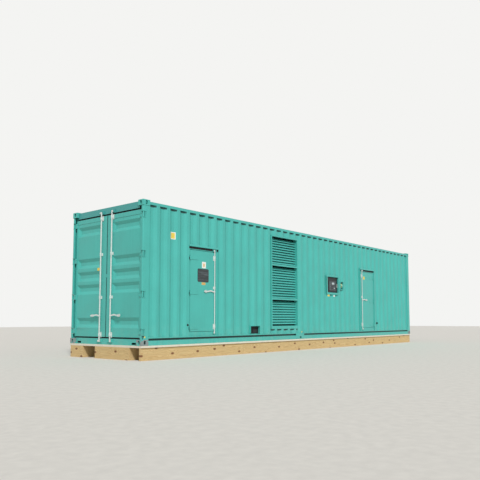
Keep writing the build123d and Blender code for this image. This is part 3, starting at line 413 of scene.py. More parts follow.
@dataclass(frozen=True)
class HotDipZinc(Finish):
    """Hot-dip galvanised steel: pale, with a crystal spangle in tone and gloss.

    Attributes:
        spangle: Width in millimetres of a crystal.
    """

    tone: tuple = (0.9, 1.06)
    play: tuple = (-0.08, 0.08)
    spangle: float = 12.0

    def surface(self, new: Maker, place: NodeSocket) -> dict:
        """Spangle in tone and roughness.

        Args:
            new: Adds a node to the material's tree.
            place: Object coordinates.

        Returns:
            Inputs of the shader that the pattern feeds.
        """
        crystals = new("ShaderNodeTexVoronoi", {"Vector": place, "Scale": per_metre(self.spangle)})
        grey = new("ShaderNodeSeparateXYZ", (crystals.outputs["Color"],)).outputs["X"]
        tone = new("ShaderNodeMapRange", (grey, 0.0, 1.0, *self.tone), **SMOOTH)
        rough = new("ShaderNodeMapRange", (grey, 0.0, 1.0, *self.rough_range()), **SMOOTH)
        colour = new("ShaderNodeVectorMath", {0: linear(self.colour)[:3], "Scale": tone}, **SCALED)
        return {"Base Color": colour, "Roughness": rough}


@dataclass(frozen=True)
class SawnPine(Finish):
    """Sawn pine: yellow early wood, darker late wood and brown knots.

    Attributes:
        grain: Direction of the fibres.
        late: sRGB hex of the late wood between the rings.
        late_share: Its greatest share of the colour.
        ring: Width in millimetres of a ring as drawn.
        tilt: Rise of the rings across the timber.
        sway: Number of rings by which the slow waves shift them.
        wander: Length and width in millimetres of the rings' slow waves.
        fibres: Length and width in millimetres of the fibres.
        fibre_depth: Depth of the saw marks, in metres.
        knot: sRGB hex of the knots.
        knot_share: Share of that colour in a knot.
        knot_gap: Distances in millimetres between knots, along and up.
        knot_core: Edges of a knot's core, as shares of those distances.
        knot_reach: How far from a knot the rings are pushed aside, as such a share.
        knot_push: Number of rings by which a knot pushes them.
    """

    tone: tuple = (0.84, 1.1)
    grain: Grain = Grain.ALONG
    late: str = "B0854F"
    late_share: float = 0.55
    ring: float = 22.0
    tilt: float = 0.7
    sway: float = 7.0
    wander: tuple = (900.0, 80.0)
    fibres: tuple = (260.0, 5.0)
    fibre_depth: float = 0.0012
    knot: str = "6A3518"
    knot_share: float = 0.9
    knot_gap: tuple = (480.0, 260.0)
    knot_core: tuple = (0.05, 0.12)
    knot_reach: float = 0.42
    knot_push: float = 2.2

    def surface(self, new: Maker, place: NodeSocket) -> dict:
        """Rings, fibres, knots and saw marks.

        Args:
            new: Adds a node to the material's tree.
            place: Object coordinates.

        Returns:
            Inputs of the shader that the pattern feeds.
        """
        turned = new("ShaderNodeMapping", {"Vector": place, "Rotation": (0.0, 0.0, self.grain.value)})
        spot = new("ShaderNodeSeparateXYZ", (turned,)).outputs
        waves, fibres = (
            new("ShaderNodeTexNoise", {
                "Vector": new("ShaderNodeMapping", {
                    "Vector": turned, "Scale": (per_metre(long), per_metre(wide), per_metre(wide))}),
                "Scale": 1.0, "Detail": detail})
            for (long, wide), detail in ((self.wander, 3.0), (self.fibres, 4.0)))
        # A knot pushes the rings aside
        knot_place = new("ShaderNodeCombineXYZ", (
            new("ShaderNodeMath", (spot["X"], per_metre(self.knot_gap[0])), **TIMES),
            new("ShaderNodeMath", (spot["Z"], per_metre(self.knot_gap[1])), **TIMES)))
        knots = new("ShaderNodeTexVoronoi", {"Vector": knot_place, "Scale": 1.0}, voronoi_dimensions="2D")
        push = new("ShaderNodeMapRange", (knots, 0.0, self.knot_reach, 1.0, 0.0), **SMOOTH)
        # Rings are 4 mm apart in truth and drawn wider, because they are too fine to show
        drift = new("ShaderNodeMath", (spot["Y"], self.tilt), **TIMES)
        lift = new("ShaderNodeMath", (spot["Z"], drift), **PLUS)
        phase = new("ShaderNodeMath", (
            new("ShaderNodeMath", (lift, per_metre(self.ring)), **TIMES),
            new("ShaderNodeMath", (waves, self.sway), **TIMES)), **PLUS)
        shove = new("ShaderNodeMath", (push, self.knot_push), **TIMES)
        phase = new("ShaderNodeMath", (phase, shove), **PLUS)
        ring = new("ShaderNodeMath", (phase,), operation="FRACT")
        darkening = new("ShaderNodeMapRange", (ring, 0.45, 1.0, 0.0, 1.0), **SMOOTH)
        late_share = new("ShaderNodeMath", (darkening, self.late_share), **TIMES)
        early, late = linear(self.colour), linear(self.late)
        colour = new("ShaderNodeMix", {0: late_share, 6: early, 7: late}, **BLENDED)
        fibre_tone = new("ShaderNodeMapRange", (fibres, 0.25, 0.75, *self.tone), **SMOOTH)
        colour = new("ShaderNodeVectorMath", {0: colour, "Scale": fibre_tone}, **SCALED)
        core = new("ShaderNodeMapRange", (knots, *self.knot_core, 1.0, 0.0), **SMOOTH)
        brown = new("ShaderNodeMath", (core, self.knot_share), **TIMES)
        colour = new("ShaderNodeMix", {0: brown, 6: colour, 7: linear(self.knot)}, **BLENDED)
        bump = new("ShaderNodeBump", {"Height": fibres, "Distance": self.fibre_depth, "Strength": 0.6})
        return {"Base Color": colour, "Normal": bump}


@dataclass(frozen=True)
class MineralWool(Finish):
    """Mineral wool behind a black glass-fibre cloth: dull, with a woven pimple every few millimetres.

    Attributes:
        pimple: Distance in millimetres between pimples.
        pimple_depth: Their depth, in metres.
    """

    tone: tuple = (0.75, 1.25)
    pimple: float = 8.0
    pimple_depth: float = 0.002

    def surface(self, new: Maker, place: NodeSocket) -> dict:
        """Tone and bump of the cloth.

        Args:
            new: Adds a node to the material's tree.
            place: Object coordinates.

        Returns:
            Inputs of the shader that the pattern feeds.
        """
        cloth = new("ShaderNodeTexVoronoi", {"Vector": place, "Scale": per_metre(self.pimple)})
        tone = new("ShaderNodeMapRange", (cloth, 0.0, 0.8, *self.tone), **SMOOTH)
        colour = new("ShaderNodeVectorMath", {0: linear(self.colour)[:3], "Scale": tone}, **SCALED)
        bump = new("ShaderNodeBump", {"Height": cloth, "Distance": self.pimple_depth})
        return {"Base Color": colour, "Normal": bump}


@dataclass(frozen=True)
class SmokedPane(Finish):
    """Dark acrylic pane: nearly black, smooth, with faint slanting wipe marks drawn lighter as painted
    reflection.

    Attributes:
        wiped: sRGB hex of the wipe marks, lighter as painted reflection.
        wiped_share: Their greatest share of the colour.
        wipes: Length and width in millimetres of a wipe mark.
        slant: Slant of the marks, in degrees.
    """

    play: tuple = (0.0, 0.15)
    wiped: str = "6C787E"
    wiped_share: float = 0.55
    wipes: tuple = (260.0, 38.0)
    slant: float = 28.0

    def surface(self, new: Maker, place: NodeSocket) -> dict:
        """Wipe marks in gloss, and lighter in tone as painted reflection.

        Args:
            new: Adds a node to the material's tree.
            place: Object coordinates.

        Returns:
            Inputs of the shader that the pattern feeds.
        """
        long, wide = (per_metre(size) for size in self.wipes)
        slanted = new("ShaderNodeMapping", {"Vector": place, "Rotation": (0.0, math.radians(self.slant), 0.0),
                                            "Scale": (long, 1.0, wide)})
        wipes = new("ShaderNodeTexNoise", {"Vector": slanted, "Scale": 1.0, "Detail": 3.0})
        mark = new("ShaderNodeMapRange", (wipes, 0.45, 0.75, 0.0, 1.0), **SMOOTH)
        share = new("ShaderNodeMath", (mark, self.wiped_share), **TIMES)
        colour = new("ShaderNodeMix", {0: share, 6: linear(self.colour), 7: linear(self.wiped)}, **BLENDED)
        rough = new("ShaderNodeMapRange", (wipes, 0.4, 0.8, *self.rough_range()), **SMOOTH)
        return {"Base Color": colour, "Roughness": rough}


class Palette:
    """Every finish of the generator set, each built once."""

    def __init__(self) -> None:
        """Build the materials."""
        turquoise, satin, pine, sawn = "4CB8AE", 0.42, "D7BC88", 0.75
        self.paint = EnamelOnSteel("turquoise_enamel", turquoise, satin).coating(Slot.PAINT)
        # The end frame's rails look a shade darker than the sheets
        self.header = EnamelOnSteel("turquoise_enamel_header", "44A19D", satin).coating(Slot.PAINT)
        # The bottom castings show grey primer through the enamel
        scuffed = EnamelOnSteel("turquoise_enamel_scuffed", turquoise, satin, rubbed=0.34)
        self.scuffed = scuffed.coating(Slot.PAINT)
        self.zinc = HotDipZinc("hot_dip_zinc", "DDE4E1", 0.42, 0.35).coating(Slot.GALVANISED)
        self.pine_long = SawnPine("sawn_pine_along", pine, sawn).coating(Slot.PINE)
        self.pine_cross = SawnPine("sawn_pine_across", pine, sawn, grain=Grain.ACROSS).coating(Slot.PINE)
        # Birch plywood under a resin film: pale, even and dull
        self.board = Finish("film_faced_board", "E4DCCB", 0.6).coating(Slot.BOARD)
        self.wool = MineralWool("faced_mineral_wool", "2A2B2D", 0.95).coating(Slot.LINING)
        # Smoked acrylic whose lighter slanting streaks are painted reflection
        self.pane = SmokedPane("smoked_acrylic", "2A3336", 0.12).coating(Slot.PANE)
        # Powder coat, baked on sheet steel: nearly black, half matt
        self.panel = Finish("powder_coated_panel", "20272A", 0.5).coating(Slot.PANEL)
        # Polycarbonate foil over the instruments: dark grey, half matt
        self.face = Finish("instrument_face", "41494D", 0.45).coating(Slot.PANEL)
        # Glass of the display: pale and glossy
        self.display = Finish("display_glass", "B9C9CC", 0.15).coating(Slot.BOARD)
        # Extruded rubber: black and dull
        self.rubber = Finish("black_epdm", "141615", 0.8).coating(Slot.RUBBER)
        # Cast vinyl films: one flat colour, half matt
        self.yellow = Finish("yellow_film", "E9CF57", 0.45).coating(Slot.BOARD)
        self.white = Finish("white_film", "F1F1EA", 0.45).coating(Slot.BOARD)
        self.orange = Finish("orange_film", "DDB068", 0.45).coating(Slot.BOARD)
        # Moulded thermoplastic of the stop button: pale green, fairly glossy
        self.green = Finish("pale_green_button", "A9D3BC", 0.35).coating(Slot.BOARD)


def evaluated(holder: Object) -> Mesh:
    """Turn an object with its modifiers into a plain mesh and remove the object.

    Args:
        holder: The object, linked to the scene.

    Returns:
        The plain mesh.
    """
    bpy.context.view_layer.update()
    result = bpy.data.meshes.new_from_object(holder.evaluated_get(bpy.context.evaluated_depsgraph_get()))
    bpy.data.objects.remove(holder)
    return result


def linked(name: str, data: ID) -> Object:
    """Make an object of the scene.

    Args:
        name: Its name.
        data: Its mesh, lamp or camera.

    Returns:
        The new object.
    """
    item = bpy.data.objects.new(name, data)
    bpy.context.scene.collection.objects.link(item)
    return item


def flat_toned(mesh: Mesh, sharp: float, face_weight: int = 80) -> Mesh:
    """Smooth a mesh so that its large faces stay flat in tone beside their rounded edges.

    Args:
        mesh: The mesh.
        sharp: Edges sharper than this many degrees stay sharp.
        face_weight: How far large faces rule the normals, where 50 is even.

    Returns:
        A new mesh with weighted normals.
    """
    mesh.polygons.foreach_set("use_smooth", [True] * len(mesh.polygons))
    mesh.set_sharp_from_angle(angle=math.radians(sharp))
    holder = linked("toned", mesh)
    weigh = holder.modifiers.new("weighted", "WEIGHTED_NORMAL")
    weigh.keep_sharp = True
    weigh.weight = face_weight
    return evaluated(holder)


def as_piece(name: str, mesh: Mesh, body: str, coating: Coating, replaces: tuple = (),
             smooth_angle: float = 32.0) -> Object:
    """Put a finished mesh into the scene as a piece of the object.

    Args:
        name: The piece's name.
        mesh: Its mesh, in place.
        body: CAD body that carries it.
        coating: Its finish and slot.
        replaces: CAD nodes that it stands for.
        smooth_angle: Edges sharper than this many degrees stay sharp.

    Returns:
        The new object.
    """
    material, slot = coating
    mesh = flat_toned(mesh, smooth_angle)
    mesh.name = name
    mesh.materials.clear()
    mesh.materials.append(material)
    piece = linked(name, mesh)
    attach(piece, body)
    if replaces:
        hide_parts(*replaces)
    LOG.info("%s: %d faces on %s", name, len(mesh.polygons), body)
    return piece


def mark_painted_shade(mesh: Mesh, shelter: PaintedShade, clear: float = 2.0 * MM, upright: float = 0.5) -> None:
    """Mark the faces that get painted shade: those that look down or lie close under a ledge.

    Args:
        mesh: Mesh of a piece, which gets a face attribute with the strength of its painted shade.
        shelter: How far the painted shade goes on this piece.
        clear: Distance from a face at which the look upwards starts.
        upright: Greatest rise of the normal of a face that a ledge can put in painted shade.
    """
    steepest, reach, grime = shelter.value
    tree = BVHTree.FromPolygons([v.co for v in mesh.vertices], [p.vertices for p in mesh.polygons])
    marks = mesh.attributes.new("shelter", "FLOAT", "FACE")
    up = Vector((0.0, 0.0, 1.0))
    for face in mesh.polygons:
        shaded = face.normal.z < steepest
        if reach and not shaded and face.normal.z < upright:
            shaded = tree.ray_cast(face.center + face.normal * clear, up, reach)[0] is not None
        marks.data[face.index].value = grime * shaded


@dataclass
class SoftEdges:
    """Copies CAD nodes with their loose triangles merged and their edges rounded.

    Attributes:
        edge: Width of the rounding of cut edges, in metres.
        bend: Width of the rounding of the shallow bends of pressed sheet, in metres, or 0 for none.
        shallow: Turn in degrees from which an edge is a bend.
        cut: Turn in degrees from which an edge is a cut edge.
        segments: Faces across a rounding.
        merge: Distance below which two corners are one, in metres.
    """

    edge: float = 1.2 * MM
    bend: float = 0.0
    shallow: float = 12.0
    cut: float = 40.0
    segments: int = 2
    merge: float = 0.02 * MM

    def cleaned(self, node: str) -> Mesh:
        """Merged copy of a node's mesh, its edges weighted for the rounding.

        Args:
            node: The CAD node's name.

        Returns:
            A new mesh in the node's place.
        """
        work = bmesh.new()
        work.from_mesh(frame["nodes"][node].data)
        bmesh.ops.remove_doubles(work, verts=work.verts, dist=self.merge)
        weight = work.edges.layers.float.new("bevel_weight_edge")
        for edge in work.edges:
            turn = math.degrees(edge.calc_face_angle(0.0)) if len(edge.link_faces) == 2 else 0.0
            if turn > self.cut:
                edge[weight] = self.edge / max(self.edge, self.bend)
            elif turn > self.shallow and self.bend:
                edge[weight] = 1.0
        return from_work(work, node + "_soft")

    def mesh(self, node: str) -> Mesh:
        """Rounded copy of a node's mesh.

        Args:
            node: The CAD node's name.

        Returns:
            A new mesh in the node's place.
        """
        holder = linked(node + "_holder", self.cleaned(node))
        rounding = holder.modifiers.new("rounding", "BEVEL")
        rounding.width = max(self.edge, self.bend)
        rounding.segments = self.segments
        rounding.limit_method = "WEIGHT"
        rounding.use_clamp_overlap = False
        return evaluated(holder)


def from_work(work: bmesh.types.BMesh, name: str) -> Mesh:
    """Turn a mesh in the making into a plain mesh, and free it.

    Args:
        work: The mesh in the making.
        name: Name of the plain mesh.

    Returns:
        The new mesh.
    """
    mesh = bpy.data.meshes.new(name)
    work.to_mesh(mesh)
    work.free()
    return mesh


def joined(meshes: List[Mesh]) -> Mesh:
    """Join several meshes into one.

    Args:
        meshes: The meshes, which stay as they are.

    Returns:
        A new mesh.
    """
    work = bmesh.new()
    for mesh in meshes:
        work.from_mesh(mesh)
    return from_work(work, "joined")


def faced_out(mesh: Mesh) -> Mesh:
    """Turn the faces of closed shells outwards.

    Args:
        mesh: The mesh, which is changed.

    Returns:
        The same mesh.
    """
    work = bmesh.new()
    work.from_mesh(mesh)
    bmesh.ops.recalc_face_normals(work, faces=work.faces)
    work.to_mesh(mesh)
    work.free()
    return mesh


def block(place: Callable[..., Vector], area: Area, near: float, far: float,
          rounding: float = 0.0) -> Mesh:
    """Block behind an area, between two depths, its edges rounded.

    Args:
        place: on_front or on_end.
        area: Its outline.
        near: Depth of its outer face.
        far: Depth of its inner face.
        rounding: Width of the rounding, in metres.

    Returns:
        A new mesh.
    """
    low, high = place(area.left, area.low, near), place(area.right, area.high, far)
    work = bmesh.new()
    size = Matrix.Diagonal((*[abs(b - a) for a, b in zip(low, high)], 1.0))
    bmesh.ops.create_cube(work, size=1.0, matrix=Matrix.Translation((low + high) / 2) @ size)
    if rounding:
        bmesh.ops.bevel(work, geom=work.edges[:], offset=rounding, segments=2, affect="EDGES", profile=0.5)
    return from_work(work, "block")


def disc(centre: Vector, facing: Facing, radius: float, thickness: float, dome: float = 0.0,
         sides: int = 32) -> Mesh:
    """Round plate or button whose back lies on a point.

    Args:
        centre: Middle of its back.
        facing: Way it looks.
        radius: Its radius.
        thickness: Its thickness.
        dome: Rounding of its front edge.
        sides: Flats round its edge.

    Returns:
        A new mesh.
    """
    work = bmesh.new()
    turn = Matrix.Translation(centre) @ Euler(facing.value).to_matrix().to_4x4()
    lift = Matrix.Translation((0, 0, thickness / 2))
    bmesh.ops.create_cone(work, cap_ends=True, segments=sides, radius1=radius, radius2=radius,
                          depth=thickness, matrix=turn @ lift)
    if dome:
        outer = (turn.to_3x3() @ Vector((0, 0, 1))).normalized()
        rim = [e for e in work.edges if all((v.co - centre).dot(outer) > thickness * 0.9 for v in e.verts)]
        bmesh.ops.bevel(work, geom=rim, offset=dome, segments=3, affect="EDGES", profile=0.5)
    return from_work(work, "disc")


def dress(node: str, coating: Coating, edge: float = 1.2 * MM, bend: float = 0.0,
          shelter: PaintedShade = PaintedShade.SLOPES) -> Object:
    """Replace a CAD node by a copy with rounded edges and a finish.

    Args:
        node: The CAD node's name.
        coating: Its finish and slot.
        edge: Rounding of its cut edges, in metres.
        bend: Rounding of its shallow bends, in metres.
        shelter: Where shade is painted on it.

    Returns:
        The new piece.
    """
    mesh = SoftEdges(edge, bend).mesh(node)
    # Mark the faces that get painted shade
    mark_painted_shade(mesh, shelter)
    return as_piece(node + "_skin", mesh, body_of(node), coating, (node,))


def coat(node: str, coating: Coating) -> None:
    """Give a CAD node that stays as it is its finish.

    Args:
        node: The CAD node's name.
        coating: Its finish.
    """
    data = frame["nodes"][node].data
    data.materials.clear()
    data.materials.append(coating.material)


class GeometryTree:
    """Base of the Geometry Nodes trees: named inputs, one evaluated mesh."""

    def __init__(self, name: str, sizes: dict) -> None:
        """Start a tree with its inputs.

        Args:
            name: Name of the tree.
            sizes: Input names with default values, floats, ints or vectors.
        """
        self.tree = bpy.data.node_groups.new(name, "GeometryNodeTree")
        self.new = partial(add, self.tree)
        kinds = {float: "NodeSocketFloat", int: "NodeSocketInt", tuple: "NodeSocketVector"}
        face = self.tree.interface
        face.new_socket(name="Geometry", in_out="OUTPUT", socket_type="NodeSocketGeometry")
        self.sockets = {}
        for label, value in sizes.items():
            socket = face.new_socket(name=label, in_out="INPUT", socket_type=kinds[type(value)])
            socket.default_value = value
            self.sockets[label] = socket.identifier
        socket = face.new_socket(name="Material", in_out="INPUT", socket_type="NodeSocketMaterial")
        self.sockets["Material"] = socket.identifier
        group = self.new("NodeGroupInput").outputs
        self.known = {label: group[label] for label in self.sockets}

    def work_out(self, *steps: tuple) -> None:
        """Add one arithmetic step after the other, each known by its name from then on.

        Args:
            *steps: Name of the result, operation, and terms: known names or plain numbers.
        """
        for name, operation, *terms in steps:
            feeds = [self.known[term] if isinstance(term, str) else term for term in terms]
            self.known[name] = self.new("ShaderNodeMath", feeds, operation=operation)

    def close(self, geometry: Node) -> None:
        """End the tree in realized instances with the material set.

        Args:
            geometry: Node that gives the whole shape.
        """
        real = self.new("GeometryNodeRealizeInstances", (geometry,))
        dressed = self.new("GeometryNodeSetMaterial", {"Geometry": real, "Material": self.known["Material"]})
        self.new("NodeGroupOutput", {"Geometry": dressed})

    def mesh(self, values: dict) -> Mesh:
        """Evaluate the tree on an empty mesh.

        Args:
            values: Input names with their values for this piece.

        Returns:
            A plain mesh.
        """
        holder = linked(self.tree.name + "_holder", bpy.data.meshes.new("empty"))
        modifier = holder.modifiers.new("tree", "NODES")
        modifier.node_group = self.tree
        for label, value in values.items():
            modifier[self.sockets[label]] = value
        return evaluated(holder)


class RolledSheetTree(GeometryTree):
    """Pressed sheet of whole troughs between two ends, with rounded bends and real thickness.

    The sheet runs along X, rises along Z and is pressed towards +Y.
    """

    def __init__(self) -> None:
        """Build the tree."""
        super().__init__("rolled_sheet", {
            "Start": 0.0, "End": 1.0, "Bottom": 0.0, "Top": 1.0, "First trough": 0.26, "Pitch": 0.2784,
            "Troughs": 43, "Trough flat": 0.07, "Slope": 0.068, "Depth": 0.036, "Bend": 0.18,
            "Thickness": 0.002, "Columns": 400})
        self.work_out(
            ("long", "SUBTRACT", "End", "Start"),
            ("tall", "SUBTRACT", "Top", "Bottom"))
        grid = self.new("GeometryNodeMeshGrid", {
            "Size X": self.known["long"], "Size Y": self.known["tall"],
            "Vertices X": self.known["Columns"], "Vertices Y": 2})
        spot = self.new("ShaderNodeSeparateXYZ", (self.new("GeometryNodeInputPosition"),)).outputs
        self.known.update({"grid x": spot["X"], "grid y": spot["Y"]})
        self.work_out(
            ("half long", "MULTIPLY", "long", 0.5),
            ("from start", "ADD", "grid x", "half long"),
            ("x", "ADD", "from start", "Start"),
            ("half tall", "MULTIPLY", "tall", 0.5),
            ("from bottom", "ADD", "grid y", "half tall"),
            ("z", "ADD", "from bottom", "Bottom"),
            # Middle of the nearest trough of the row
            ("past first", "SUBTRACT", "x", "First trough"),
            ("pitches", "DIVIDE", "past first", "Pitch"),
            ("nearest", "ROUND", "pitches"),
            ("from first", "MAXIMUM", "nearest", 0.0),
            ("last", "SUBTRACT", "Troughs", 1.0),
            ("number", "MINIMUM", "from first", "last"),
            ("run", "MULTIPLY", "number", "Pitch"),
            ("middle", "ADD", "run", "First trough"),
            # Ramp that is 1 in the trough and 0 on the crest, eased into both
            ("half flat", "MULTIPLY", "Trough flat", 0.5),
            ("half trough", "ADD", "half flat", "Slope"),
            ("off middle", "SUBTRACT", "x", "middle"),
            ("away", "ABSOLUTE", "off middle"),
            ("inside", "SUBTRACT", "half trough", "away"),
            ("ramp", "DIVIDE", "inside", "Slope"),
            ("capped", "SMOOTH_MIN", "ramp", 1.0, "Bend"),
            ("eased", "SMOOTH_MAX", "capped", 0.0, "Bend"),
            ("deep", "MULTIPLY", "eased", "Depth"))
        place = self.new("ShaderNodeCombineXYZ", [self.known[axis] for axis in ("x", "deep", "z")])
        outer = self.new("GeometryNodeSetPosition", {"Geometry": grid, "Position": place})
        through = self.new("ShaderNodeCombineXYZ", {"Y": self.known["Thickness"]})
        pushed = self.new("GeometryNodeExtrudeMesh", {
            "Mesh": outer, "Offset": through, "Offset Scale": 1.0, "Individual": False})
        turned = self.new("GeometryNodeFlipFaces", {"Mesh": pushed})
        both = self.new("GeometryNodeJoinGeometry", {"Geometry": [outer, turned]})
        weld = 0.01 * MM
        self.close(self.new("GeometryNodeMergeByDistance", {"Geometry": both, "Distance": weld}))


class BoltRowTree(GeometryTree):
    """Straight row of fasteners: a tapered head on its washer at every point of a line."""

    def __init__(self) -> None:
        """Build the tree."""
        super().__init__("bolt_row", {
            "Start": (0.0, 0.0, 0.0), "Step": (0.1, 0.0, 0.0), "Turn": (0.0, 0.0, 0.0), "Count": 2,
            "Sides": 6, "Head width": 0.019, "Head height": 0.0075, "Taper": 0.94,
            "Washer width": 0.024, "Washer height": 0.0025})
        known = self.known
        row = self.new("GeometryNodeMeshLine", {
            "Count": known["Count"], "Start Location": known["Start"], "Offset": known["Step"]})
        self.work_out(
            ("washer radius", "MULTIPLY", "Washer width", 0.5),
            ("head radius", "MULTIPLY", "Head width", 0.5),
            ("crown radius", "MULTIPLY", "head radius", "Taper"))
        washer_sides, radius = 20, known["washer radius"]
        washer = self.frustum(washer_sides, radius, radius, known["Washer height"], 0.0)
        head = self.frustum(known["Sides"], known["head radius"], known["crown radius"],
                            known["Head height"], known["Washer height"])
        both = self.new("GeometryNodeJoinGeometry", {"Geometry": [washer, head]})
        turn = self.new("FunctionNodeEulerToRotation", {"Euler": known["Turn"]})
        self.close(self.new("GeometryNodeInstanceOnPoints", {
            "Points": row, "Instance": both, "Rotation": turn}))

    def frustum(self, sides: Feed, foot: Feed, top: Feed, height: Feed, lift: Feed) -> Node:
        """Closed frustum that stands at a height, along +Z.

        Args:
            sides: Number of its sides.
            foot: Radius at its foot.
            top: Radius at its top.
            height: Its own height.
            lift: Height at which it stands.

        Returns:
            The node that gives it.
        """
        cone = self.new("GeometryNodeMeshCone", {
            "Vertices": sides, "Radius Bottom": foot, "Radius Top": top, "Depth": height})
        raised = self.new("ShaderNodeCombineXYZ", {"Z": lift})
        return self.new("GeometryNodeTransform", {"Geometry": cone, "Translation": raised})


@dataclass
class RolledSheets:
    """The corrugated sheets of the two long sides and the far end, and films stuck on them.

    Attributes:
        palette: Finishes.
        column: Width of one facet along the sheet, in metres.
        wall_inset: Depth of the crests behind the side plane.
        pitch: Distance between troughs of the long sides.
        crest: Width of a crest.
        slope: Width of a slope.
        first_trough: Middle of the first trough, from the door end.
        end_inset: Depth of the crests behind the far end.
        end_pitch: Distance between troughs of the far end.
        end_flat: Width of the flat of a trough of the far end.
        end_troughs: Number of troughs of the far end.
        flange: Width of the window's flange, which lies on the sheet.
        cutter: Reach of the cutter of an opening, on both sides of the side plane.
        film: Thickness of a film.
        dry: Height of the dark band at the top of a trough.
        dry_over: How far above the edge a face still counts to that band.
        trough_depth: Depth behind the crests from which a face lies in a trough.
    """

    palette: Palette
    column: float = 6.0 * MM
    wall_inset: float = 8.0 * MM
    pitch: float = 278.4 * MM
    crest: float = 72.0 * MM
    slope: float = 68.0 * MM
    first_trough: float = 260.0 * MM
    end_inset: float = 34.0 * MM
    end_pitch: float = 250.0 * MM
    end_flat: float = 60.0 * MM
    end_troughs: int = 9
    flange: float = 50.0 * MM
    cutter: float = 100.0 * MM
    film: float = 0.6 * MM
    # dry: Height of the band of painted shade at the top of a trough.
    dry: float = 36.0 * MM
    # dry_over: How far above the edge a face still counts to that band.
    dry_over: float = 60.0 * MM
    trough_depth: float = 6.0 * MM

    def __post_init__(self) -> None:
        """Make the tree that every sheet uses."""
        self.tree = RolledSheetTree()

    def sheet(self, area: Area, coating: Coating, **extra) -> Mesh:
        """One closed sheet in its own flat frame.

        Args:
            area: Its edges.
            coating: Its finish.
            **extra: Other inputs of the tree, with _ for spaces.

        Returns:
            The sheet's mesh.
        """
        values = {"Start": area.left, "End": area.right, "Bottom": area.low, "Top": area.high,
                  "First trough": self.first_trough, "Pitch": self.pitch, "Slope": self.slope,
                  "Trough flat": self.pitch - self.crest - 2 * self.slope, "Material": coating.material,
                  "Columns": max(3, int((area.right - area.left) / self.column))}
        values.update({label.replace("_", " ").capitalize(): value for label, value in extra.items()})
        return self.tree.mesh(values)

    @staticmethod
    def placed(mesh: Mesh, matrix: Matrix) -> Mesh:
        """Move a sheet to its place and turn its faces outwards."""
        mesh.transform(matrix)
        return faced_out(mesh)

    def pierced(self, mesh: Mesh, holes: List[Area], side: Side) -> Mesh:
        """Cut rectangular holes through a placed side sheet.

        Args:
            mesh: The sheet, in place.
            holes: Openings to cut.
            side: Long side that the sheet is on.

        Returns:
            The sheet with its holes.
        """
        work = bmesh.new()
        for hole in holes:
            middle = Vector((DOOR_END + (hole.left + hole.right) / 2, side.value * WIDTH / 2,
                             BASE + (hole.low + hole.high) / 2))
            size = Matrix.Diagonal((hole.right - hole.left, 2 * self.cutter, hole.high - hole.low, 1.0))
            bmesh.ops.create_cube(work, size=1.0, matrix=Matrix.Translation(middle) @ size)
        cutter = linked("cutters", from_work(work, "cutters"))
        body = linked("pierced", mesh)
        cut = body.modifiers.new("holes", "BOOLEAN")
        cut.object = cutter
        cut.operation = "DIFFERENCE"
        cut.solver = "EXACT"
        result = evaluated(body)
        bpy.data.objects.remove(cutter)
        return result

    def side_matrix(self, side: Side) -> Matrix:
        """Matrix from a sheet's own frame to a long side."""
        mirror = Matrix.Diagonal((1.0, -side.value, 1.0, 1.0))
        return Matrix.Translation((DOOR_END, side.value * (WIDTH / 2 - self.wall_inset), BASE)) @ mirror

    def wall(self, node: str, side: Side, parts: List[Area], holes: Sequence[Area] = ()) -> None:
        """Replace one CAD side sheet by rolled sheets.

        Args:
            node: CAD node of the wall.
            side: Long side that it is on.
            parts: Edges of each piece of sheet.
            holes: Openings cut through the first piece.
        """
        meshes = [self.placed(self.sheet(part, self.palette.paint), self.side_matrix(side)) for part in parts]
        if holes:
            meshes[0] = self.pierced(meshes[0], holes, side)
        mesh = self.trough_tops(joined(meshes), parts)
        as_piece(node + "_rolled", mesh, body_of(node), self.palette.paint, (node,))

    def trough_tops(self, mesh: Mesh, parts: List[Area]) -> Mesh:
        """Mark the top of every trough for painted shade, with a face attribute.

        Args:
            mesh: Sheets of one wall, in place.
            parts: Edges of each piece of sheet.

        Returns:
            The marked mesh, with an edge across it at the foot of each marked band.
        """
        rail = area_of("top_rails").low
        bands = [(part.left, part.right, min(part.high, rail)) for part in parts]
        deep = WIDTH / 2 - self.wall_inset - self.trough_depth
        work = bmesh.new()
        work.from_mesh(mesh)
        for level in sorted({high - self.dry for _, _, high in bands}):
            bmesh.ops.bisect_plane(work, geom=[*work.verts, *work.edges, *work.faces], dist=1e-6,
                                   plane_co=(0.0, 0.0, BASE + level), plane_no=(0.0, 0.0, 1.0))
        marks = work.faces.layers.float.new("shelter")
        for face in work.faces:
            centre = face.calc_center_median()
            s, z = centre.x - DOOR_END, centre.z - BASE
            dry = any(start < s < end and high - self.dry < z < high + self.dry_over
                      for start, end, high in bands)
            # Faces in the band at the top of a trough get full painted shade
            face[marks] = float(dry and abs(centre.y) < deep)
        work.to_mesh(mesh)
        work.free()
        return mesh

    def stick(self, name: str, area: Area, coating: Coating, films: int = 1) -> None:
        """Stick a plain film on the front side, pressed down into the troughs.

        Args:
            name: The piece's name.
            area: Its edges.
            coating: Its finish.
            films: Number of films up to and with this one.
        """
        mesh = self.sheet(area, coating, thickness=self.film)
        out = Matrix.Translation((0.0, -(2 * films - 0.5) * self.film, 0.0))
        as_piece(name, self.placed(mesh, out @ self.side_matrix(Side.FRONT)), "container", coating)

